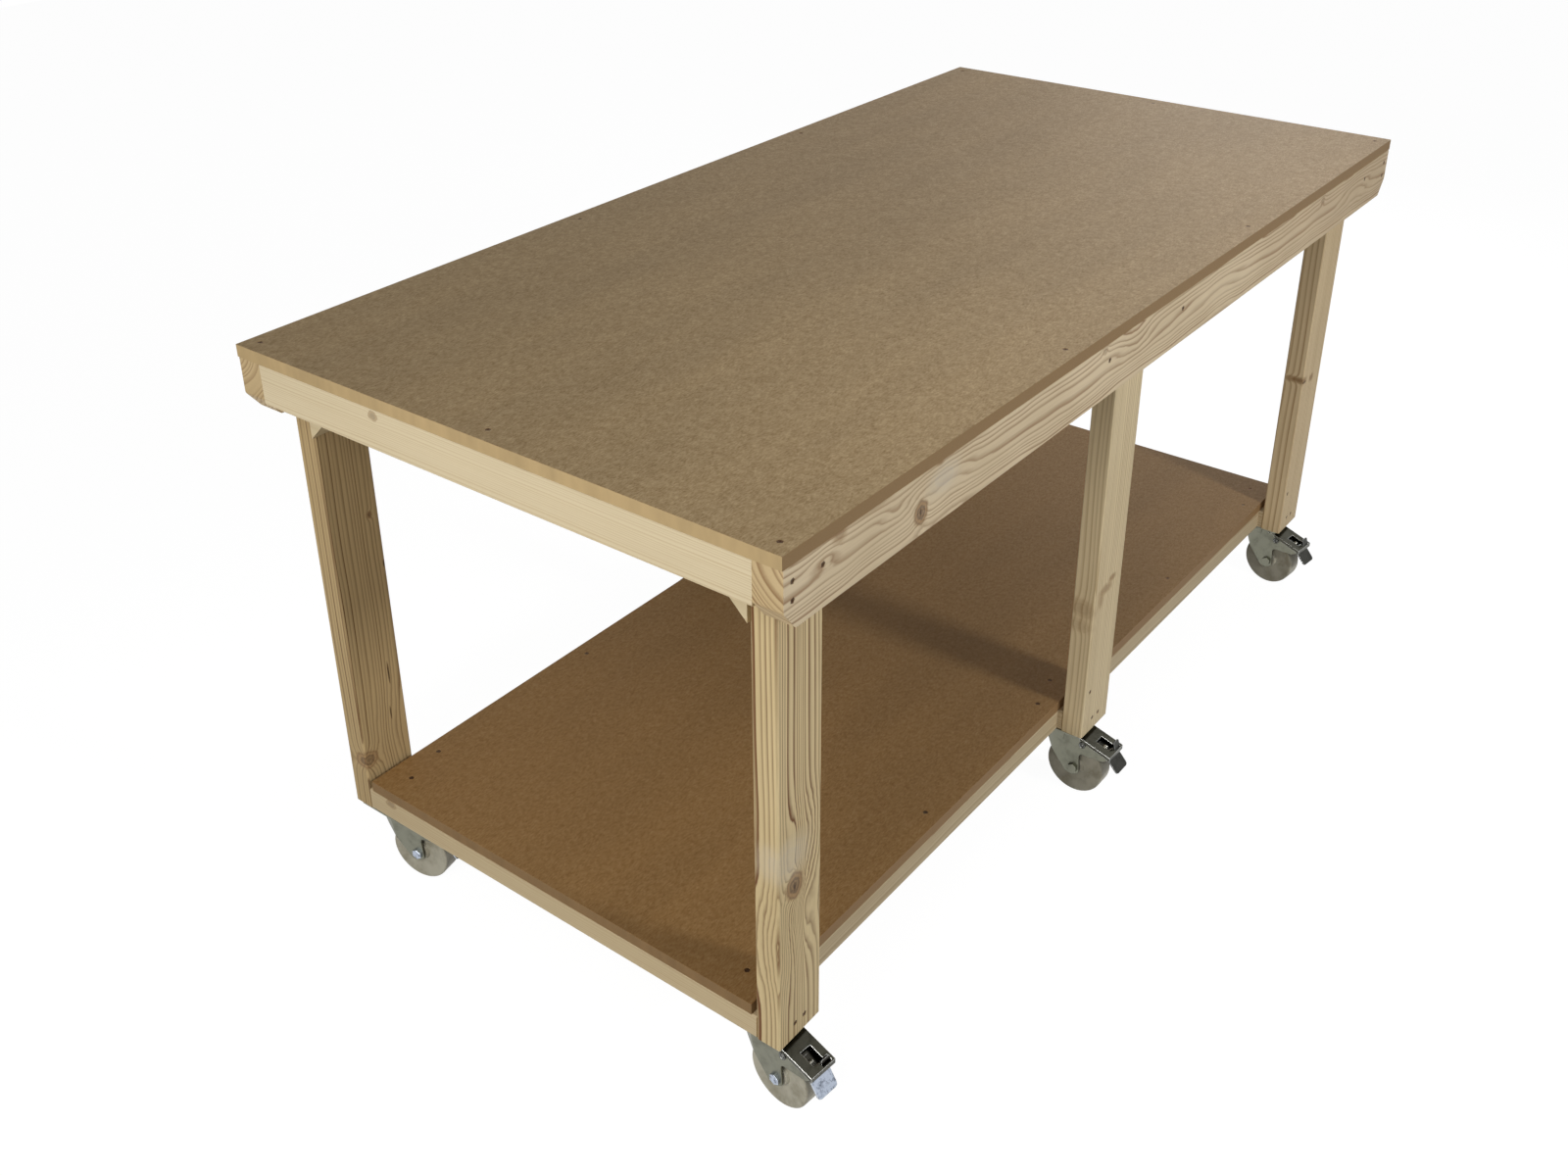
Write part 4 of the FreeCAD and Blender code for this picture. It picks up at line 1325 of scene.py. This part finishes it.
# ------------------------------------------------------------------ timber and boards
@dataclass
class BoardTop:
    """Finishes of the two fibreboards."""

    top_level: float = 905.0 * MM
    top_end: float = -915.0 * MM
    shelf_level: float = 183.0 * MM
    shelf_end: float = -870.5 * MM

    def dress(self) -> None:
        """Give the top and the shelf their materials."""
        boards = {
            "tabletop": Fibreboard("top_fibreboard", self.top_level, self.top_end),
            "shelf_board": Fibreboard(
                "shelf_fibreboard", self.shelf_level, self.shelf_end,
                face=(148, 115, 73), deep=(132, 99, 58), pale=(164, 132, 90),
                # painted light along the shelf: warmer at the near end, cooler at the far end
                painted_near_light=(1.0, 0.97, 0.9), painted_far_light=(0.97, 1.0, 1.06),
                # the shelf's ends are darker than its long edges: painted shade
                edge=(146, 116, 80), end_edge_painted_lighting=(134, 106, 70),
            ),
        }
        for node, finish in boards.items():
            Bench.dress(frame["nodes"][node], finish.material())
            LOG.info("board %s: %s", node, finish.name)


@dataclass
class TimberFrame:
    """Finishes of the frame's timber, board by board.

    Each lists its name, grain, pith, ring spacing, wander, flow and seed, and where they are not
    the usual ones its pale and late colours, contrast and marks.
    """

    cream: Shown = (224, 210, 178)
    cream_late: Shown = (196, 172, 130)
    grey: Shown = (222, 204, 171)
    grey_late: Shown = (142, 106, 70)

    def aprons(self) -> dict[str, Softwood]:
        """List the finishes of the long and end aprons, corner blocks and bearers.

        Returns:
            The finishes by CAD node.
        """
        long_marks = (
            Mark(Blemish.KNOT, (-649, -457, 836), (15, 40, 17), 0.8, 0.014),
            Mark(Blemish.CURL, (-700, -457, 862), (26, 40, 12), 0.0, -0.010),
            Mark(Blemish.CURL, (-590, -457, 852), (60, 60, 40), 0.0, 0.012),
            Mark(Blemish.SPLIT, (-650, -457, 837), (1.6, 8, 6), 0.8),
            Mark(Blemish.BARE, (-600, -457, 862), (34, 12, 20), 0.45),
            Mark(Blemish.STAIN, (-812, -457, 884), (13, 8, 11), 0.6),
            Mark(Blemish.STAIN, (-742, -457, 888), (34, 8, 7), 0.35),
            Mark(Blemish.STAIN, (-610, -457, 887), (8, 8, 5), 0.7),
            Mark(Blemish.CURL, (-838, -457, 866), (26, 40, 12), 0.0, 0.008),
            Mark(Blemish.KNOT, (-197, -457, 880), (8, 16, 6), 0.4, 0.008),
            Mark(Blemish.CURL, (-101, -457, 866), (40, 60, 22), 0.0, -0.012),
            Mark(Blemish.CURL, (160, -457, 850), (110, 60, 34), 0.0, 0.010),
            Mark(Blemish.KNOT, (593, -457, 876), (9, 16, 7), 0.45, 0.008),
            Mark(Blemish.CURL, (764, -457, 848), (60, 60, 26), 0.0, 0.014),
            # a broad darkening over the far end of the front apron, laid as a stain mark
            Mark(Blemish.STAIN, (800, -457, 862), (420, 60, 90), 0.26),
        )
        rear_marks = (Mark(Blemish.KNOT, (310, 457, 842), (14, 40, 12), 0.8, 0.016),)
        end_marks = (Mark(Blemish.KNOT, (-913, 188, 876), (9, 9, 7), 0.5, 0.004),)
        return {
            "long_apron_front": Softwood(
                "front_apron_pine", Axis.X, (-0.490, 0.912), 0.0078, 0.012, 4.6, 1.3,
                self.grey, self.grey_late, 0.85, long_marks,
            ),
            "long_apron_rear": Softwood(
                "rear_apron_pine", Axis.X, (0.490, 0.912), 0.0078, 0.014, 3.4, 4.1,
                self.grey, self.grey_late, 0.9, rear_marks,
            ),
            "end_apron_left": Softwood(
                "near_end_apron_pine", Axis.Y, (-0.80, 0.60), 0.0034, 0.008, 1.0, 2.2,
                self.cream, self.cream_late, 0.7, end_marks,
            ),
            "end_apron_right": Softwood(
                "far_end_apron_pine", Axis.Y, (0.80, 0.60), 0.0034, 0.012, 1.0, 7.2,
                self.cream, self.cream_late, 0.6,
            ),
            "gussets": Softwood(
                "gusset_pine", Axis.Y, (0.0, 0.62), 0.0032, 0.010, 1.2, 18.9,
                (214, 199, 164), self.cream_late, 0.6,
            ),
            "bearers": Softwood("bearer_pine", Axis.Y, (-0.1, 0.7), 0.0038, 0.012, 1.4, 19.4),
        }

    def legs(self) -> dict[str, Softwood]:
        """List the finishes of the six legs.

        Returns:
            The finishes by CAD node.
        """
        near_marks = (
            Mark(Blemish.KNOT, (-838, -415, 384), (17, 30, 22), 0.85, 0.018),
            Mark(Blemish.SPLIT, (-838, -415, 382), (2.4, 10, 7), 0.9),
            Mark(Blemish.CURL, (-822, -415, 330), (26, 40, 60), 0.0, -0.011),
            Mark(Blemish.CURL, (-860, -400, 300), (20, 30, 70), 0.0, 0.011),
            Mark(Blemish.CURL, (-820, -415, 450), (30, 40, 50), 0.0, 0.009),
            Mark(Blemish.BARE, (-852, -412, 432), (44, 34, 30), 0.4),
        )
        middle_marks = (
            Mark(Blemish.STAIN, (-22, -415, 400), (22, 20, 9), 0.6, 0.003),
            Mark(Blemish.STAIN, (-2, -415, 412), (12, 12, 6), 0.7),
            Mark(Blemish.STAIN, (-36, -415, 384), (9, 20, 14), 0.5, 0.003),
            Mark(Blemish.STAIN, (-56, -392, 372), (16, 26, 16), 0.4, 0.002),
            Mark(Blemish.STAIN, (-56, -388, 340), (14, 26, 12), 0.3, 0.002),
        )
        rear_marks = (
            Mark(Blemish.KNOT, (-864, 378, 216), (19, 24, 16), 0.7, 0.012),
            Mark(Blemish.SPLIT, (-806, 377, 345), (1.6, 12, 20), 0.9),
            Mark(Blemish.SPLIT, (-812, 377, 275), (1.4, 12, 12), 0.8),
            Mark(Blemish.KNOT, (-800, 377, 618), (5, 12, 6), 0.8, 0.006),
            Mark(Blemish.SPLIT, (-786, 377, 530), (2.4, 12, 7), 0.8),
            Mark(Blemish.CURL, (-815, 377, 240), (30, 40, 60), 0.0, 0.008),
        )
        far_marks = (
            Mark(Blemish.STAIN, (778, -404, 462), (12, 30, 7), 0.85, 0.004),
            Mark(Blemish.SPLIT, (781, -414, 458), (8, 8, 2.5), 0.8),
            Mark(Blemish.STAIN, (815, -415, 456), (10, 12, 8), 0.8, 0.004),
        )
        return {
            "leg_front_left": Softwood(
                "near_leg_pine", Axis.Z, (-0.735, -0.325), 0.0040, 0.006, 1.6, 3.7,
                (221, 201, 156), (112, 72, 38), 1.25, near_marks,
            ),
            "leg_front_middle": Softwood(
                "middle_leg_pine", Axis.Z, (0.09, -0.33), 0.0036, 0.006, 1.4, 5.9,
                (228, 211, 173), (156, 123, 79), 0.8, middle_marks,
            ),
            "leg_front_right": Softwood(
                "far_leg_pine", Axis.Z, (0.92, -0.33), 0.0046, 0.008, 1.4, 8.3,
                (224, 203, 163), (160, 126, 86), 0.9, far_marks,
            ),
            "leg_rear_left": Softwood(
                "rear_near_leg_pine", Axis.Z, (-0.93, 0.31), 0.0056, 0.012, 1.8, 9.4,
                (192, 168, 124), (100, 70, 40), 1.0, rear_marks,
            ),
            "leg_rear_middle": Softwood(
                "rear_middle_leg_pine", Axis.Z, (0.08, 0.47), 0.0042, 0.008, 1.4, 11.0,
            ),
            "leg_rear_right": Softwood(
                "rear_far_leg_pine", Axis.Z, (0.91, 0.47), 0.0042, 0.008, 1.4, 12.5,
            ),
        }

    def rails(self) -> dict[str, Softwood]:
        """List the finishes of the rails under the shelf.

        Returns:
            The finishes by CAD node.
        """
        near_marks = (Mark(Blemish.KNOT, (-870, 330, 158), (9, 12, 7), 0.5, 0.004),)
        return {
            "shelf_rails_front": Softwood(
                "front_shelf_rail_pine", Axis.X, (-0.30, 0.05), 0.0044, 0.02, 1.6, 13.1,
            ),
            "shelf_rails_rear": Softwood(
                "rear_shelf_rail_pine", Axis.X, (0.30, 0.05), 0.0044, 0.02, 1.6, 14.6,
            ),
            "cross_rail_left": Softwood(
                "near_cross_rail_pine", Axis.Y, (-0.86, 0.02), 0.0050, 0.012, 1.4, 15.2,
                (206, 188, 152), (170, 140, 100), 0.55, near_marks,
            ),
            "cross_rail_middle": Softwood(
                "middle_cross_rail_pine", Axis.Y, (0.0, 0.05), 0.0044, 0.012, 1.4, 16.3,
            ),
            "cross_rail_right": Softwood(
                "far_cross_rail_pine", Axis.Y, (0.8, 0.05), 0.0044, 0.012, 1.4, 17.8,
            ),
        }

    def dress(self) -> None:
        """Give every board its own material."""
        for node, finish in {**self.aprons(), **self.legs(), **self.rails()}.items():
            Bench.dress(frame["nodes"][node], finish.material())
            LOG.info("timber %s: %s", node, finish.name)


@dataclass
class Ironwork:
    """Finishes of the caster steel and the screws left as CAD."""

    dull: Metal = Metal("dull_zinc", (126, 126, 112), 0.42, 0.14, (98, 98, 86), 0.6, 45.0)
    # the covers' dark base colour is a painted dark reflection
    cover: Metal = Metal(
        "smoky_zinc", (76, 75, 66), 0.2, 0.08, (50, 49, 40), 0.7, 55.0, 1.5 * MM, painted_fold_highlight=0.85,
    )
    bright: Metal = Metal(
        "bright_zinc", (176, 185, 200), 0.2, 0.2, (78, 84, 96), 0.9, 190.0, 1.4 * MM,
        painted_fold_highlight=0.7, darkening_level=84.0 * MM,
    )
    # painted shade: a darkened copy of the zinc, for the middle and far front pedals and the rivets
    dark: Metal = Metal(
        "dark_zinc", (62, 62, 58), 0.28, 0.1, (40, 39, 35), 0.6, 90.0, 1.2 * MM, painted_fold_highlight=0.5,
    )
    inner: Metal = Metal("spring_steel", (208, 207, 198), 0.24, 0.1, (126, 120, 106), 0.5, 200.0)
    screw: Metal = Metal("screw_zinc", (84, 60, 40), 0.45)

    def dress(self) -> dict[str, Material]:
        """Give the steel nodes their materials.

        Returns:
            The materials by finish name, for the pieces modelled here.
        """
        metals = (self.dull, self.cover, self.bright, self.dark, self.inner, self.screw)
        made = {metal.name: metal.material() for metal in metals}
        kinds = {
            "plate_": self.dull, "fork_": self.dull, "cover_": self.cover, "axle_": self.dull,
            "axle_front_left": self.bright, "axle_rear_left": self.bright, "pedal_": self.bright,
            # the middle and far front pedals take the dark copy of the pedal steel: painted shade
            "pedal_front_middle": self.dark, "pedal_front_right": self.dark,
            "coach_screws": self.dull, "screws_": self.screw,
        }
        for node, piece in frame["nodes"].items():
            for start, metal in kinds.items():
                if node.startswith(start):
                    Bench.dress(piece, made[metal.name])
        LOG.info("steel finishes: %s", ", ".join(made))
        return made


# ------------------------------------------------------------------ studio
@dataclass(frozen=True)
class Lamp:
    """One lamp: where it hangs, the point it faces, its width and height, its power in watts."""

    name: str
    place: Spot
    aim: Spot
    size: tuple[float, float]
    power: float
    colour: Colour = (1.0, 1.0, 1.0)

    def hang(self) -> None:
        """Hang the lamp, out of the camera's sight."""
        light = bpy.data.lights.new(self.name, "AREA")
        light.shape = "RECTANGLE"
        light.size, light.size_y = self.size
        light.energy = self.power
        light.color = self.colour
        lamp = bpy.data.objects.new(self.name, light)
        bpy.context.scene.collection.objects.link(lamp)
        way = Vector(self.aim) - Vector(self.place)
        lamp.location = self.place
        lamp.rotation_euler = way.to_track_quat("-Z", "Y").to_euler()
        lamp.visible_camera = False


@dataclass
class Studio:
    """Camera, floor, lamps and surroundings."""

    eye: Spot = (-2.0373, -1.3138, 1.7573)
    yaw: float = 0.6621
    pitch: float = -0.4854
    roll: float = -0.0100
    focal_pixels: float = 1641.5
    centre_pixels: tuple[float, float] = (782.9, 473.6)
    picture: tuple[int, int] = (1600, 1200)
    sensor: float = 36.0
    sight: tuple[float, float] = (0.05, 60.0)
    surround: float = 0.17
    surround_colour: Colour = (0.98, 0.98, 1.0)
    floor_side: float = 14.0
    floor_level: float = -0.2 * MM
    floor_glow: float = 0.9
    floor_white: float = 1.07
    floor_unseen: Colour = (0.42, 0.41, 0.39)
    floor_seen: Colour = (0.95, 0.95, 0.95)
    lamps: tuple[Lamp, ...] = (
        Lamp("front_window", (0.0, -3.2, 2.1), (0.0, -0.4, 0.6), (0.45, 0.45), 42.0),
        Lamp("front_screen", (-1.0, -3.2, 1.0), (-0.4, -0.4, 0.6), (1.6, 0.6), 4.0),
        Lamp("near_end_window", (-2.6, -0.1, 1.05), (-0.9, 0.0, 0.55), (1.2, 0.7), 18.5, WARM),
        Lamp("near_lamp", (-2.4, -0.7, 2.4), (-0.9, -0.2, 0.9), (0.8, 0.8), 10.0, WARM),
        Lamp("front_edge_strip", (0.1, -0.42, 1.4), (0.1, -0.42, 0.0), (1.8, 0.08), 1.2),
        Lamp("far_end_strip", (0.92, 0.0, 1.9), (0.92, 0.0, 0.0), (0.1, 0.6), 1.6, COOL),
        Lamp("far_end_window", (2.9, 0.5, 1.5), (0.7, 0.0, 0.5), (1.0, 1.2), 9.0, COOL),
        Lamp("far_lamp", (2.3, 0.0, 2.8), (0.7, 0.0, 0.9), (1.2, 1.2), 6.0, COOL),
    )

    def camera(self) -> None:
        """Set the camera at the eye."""
        lens = bpy.data.cameras.new("view")
        lens.sensor_width = self.sensor
        width, height = self.picture
        lens.lens = self.focal_pixels * self.sensor / width
        lens.shift_x = (width / 2 - self.centre_pixels[0]) / width
        lens.shift_y = (self.centre_pixels[1] - height / 2) / width
        lens.clip_start, lens.clip_end = self.sight
        camera = bpy.data.objects.new("view", lens)
        bpy.context.scene.collection.objects.link(camera)
        camera.matrix_world = Matrix.Translation(self.eye) @ self._turn()
        bpy.context.scene.camera = camera

    def _turn(self) -> Matrix:
        """Work out how the camera is turned.

        Returns:
            Its axes as a turning matrix.
        """
        level = math.cos(self.pitch)
        east, north = math.cos(self.yaw), math.sin(self.yaw)
        forward = Vector((east * level, north * level, math.sin(self.pitch)))
        flat_right = Vector((north, -east, 0))
        flat_up = flat_right.cross(forward)
        right = flat_right * math.cos(self.roll) + flat_up * math.sin(self.roll)
        upward = flat_up * math.cos(self.roll) - flat_right * math.sin(self.roll)
        return Matrix((right, upward, -forward)).transposed().to_4x4()

    @staticmethod
    def _seen(recipe: Recipe) -> Signal:
        """Tell the rays that look at the backdrop from those that carry its light.

        Args:
            recipe: The material being laid out.

        Returns:
            One for the rays that look, zero for the others.
        """
        path = recipe.node("ShaderNodeLightPath").outputs
        seen = Signal(recipe, path["Is Camera Ray"])
        for kind in ("Is Glossy Ray", "Is Transmission Ray"):
            seen = recipe.maths("MAXIMUM", seen, Signal(recipe, path[kind]))
        return seen

    def floor(self) -> None:
        """Lay a pale floor that shows white and keeps the table's shadow."""
        Bench.clear()
        bpy.ops.mesh.primitive_plane_add(size=self.floor_side, location=(0, 0, self.floor_level))
        floor = Bench.named("studio_floor")
        bpy.ops.object.transform_apply(location=True)
        recipe = Recipe("studio_floor")
        seen = self._seen(recipe)
        paint = recipe.blend(seen, (*self.floor_unseen, 1.0), (*self.floor_seen, 1.0))
        matt = recipe.node("ShaderNodeBsdfDiffuse", None, {"Color": paint})
        white = {"Color": WHITE, "Strength": self.floor_white}
        glow = recipe.node("ShaderNodeEmission", None, white)
        sockets = {0: seen * self.floor_glow, 1: matt.outputs[0], 2: glow.outputs[0]}
        mixed = recipe.node("ShaderNodeMixShader", None, sockets)
        recipe.node("ShaderNodeOutputMaterial", None, {"Surface": mixed.outputs[0]})
        Bench.dress(floor, recipe.material)

    def surroundings(self) -> None:
        """Light from all round, seen as white by the camera and in reflections."""
        world = bpy.data.worlds.new("surroundings")
        world.use_nodes = True
        recipe = Recipe.on_tree(world.node_tree)
        lights = {"Color": (*self.surround_colour, 1.0), "Strength": self.surround}
        lit = recipe.node("ShaderNodeBackground", None, lights)
        plain = recipe.node("ShaderNodeBackground", None, {"Color": WHITE, "Strength": 1.0})
        sockets = {0: self._seen(recipe), 1: lit.outputs[0], 2: plain.outputs[0]}
        mixed = recipe.node("ShaderNodeMixShader", None, sockets)
        recipe.node("ShaderNodeOutputWorld", None, {"Surface": mixed.outputs[0]})
        bpy.context.scene.world = world

    def build(self) -> None:
        """Set up the whole studio."""
        self.camera()
        self.floor()
        self.surroundings()
        for lamp in self.lamps:
            lamp.hang()
        bpy.context.scene.view_settings.view_transform = "Standard"


def main() -> None:
    """Build the table's looks piece by piece."""
    BoardTop().dress()
    TimberFrame().dress()
    steel = Ironwork().dress()
    WoodScrews().build(steel["screw_zinc"])
    plate_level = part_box("plate_front_middle")[1].z
    places = CasterPlace.read(plate_level)
    CasterWheels().build(places, Nylon("wheel_nylon").material())
    # the rivets are painted dark so that they read as a shaded ring
    PivotRivets().build(places, steel["dark_zinc"])
    PedalSprings().build(places, steel["spring_steel"])
    Studio().build()


if __name__ == "__main__":
    main()
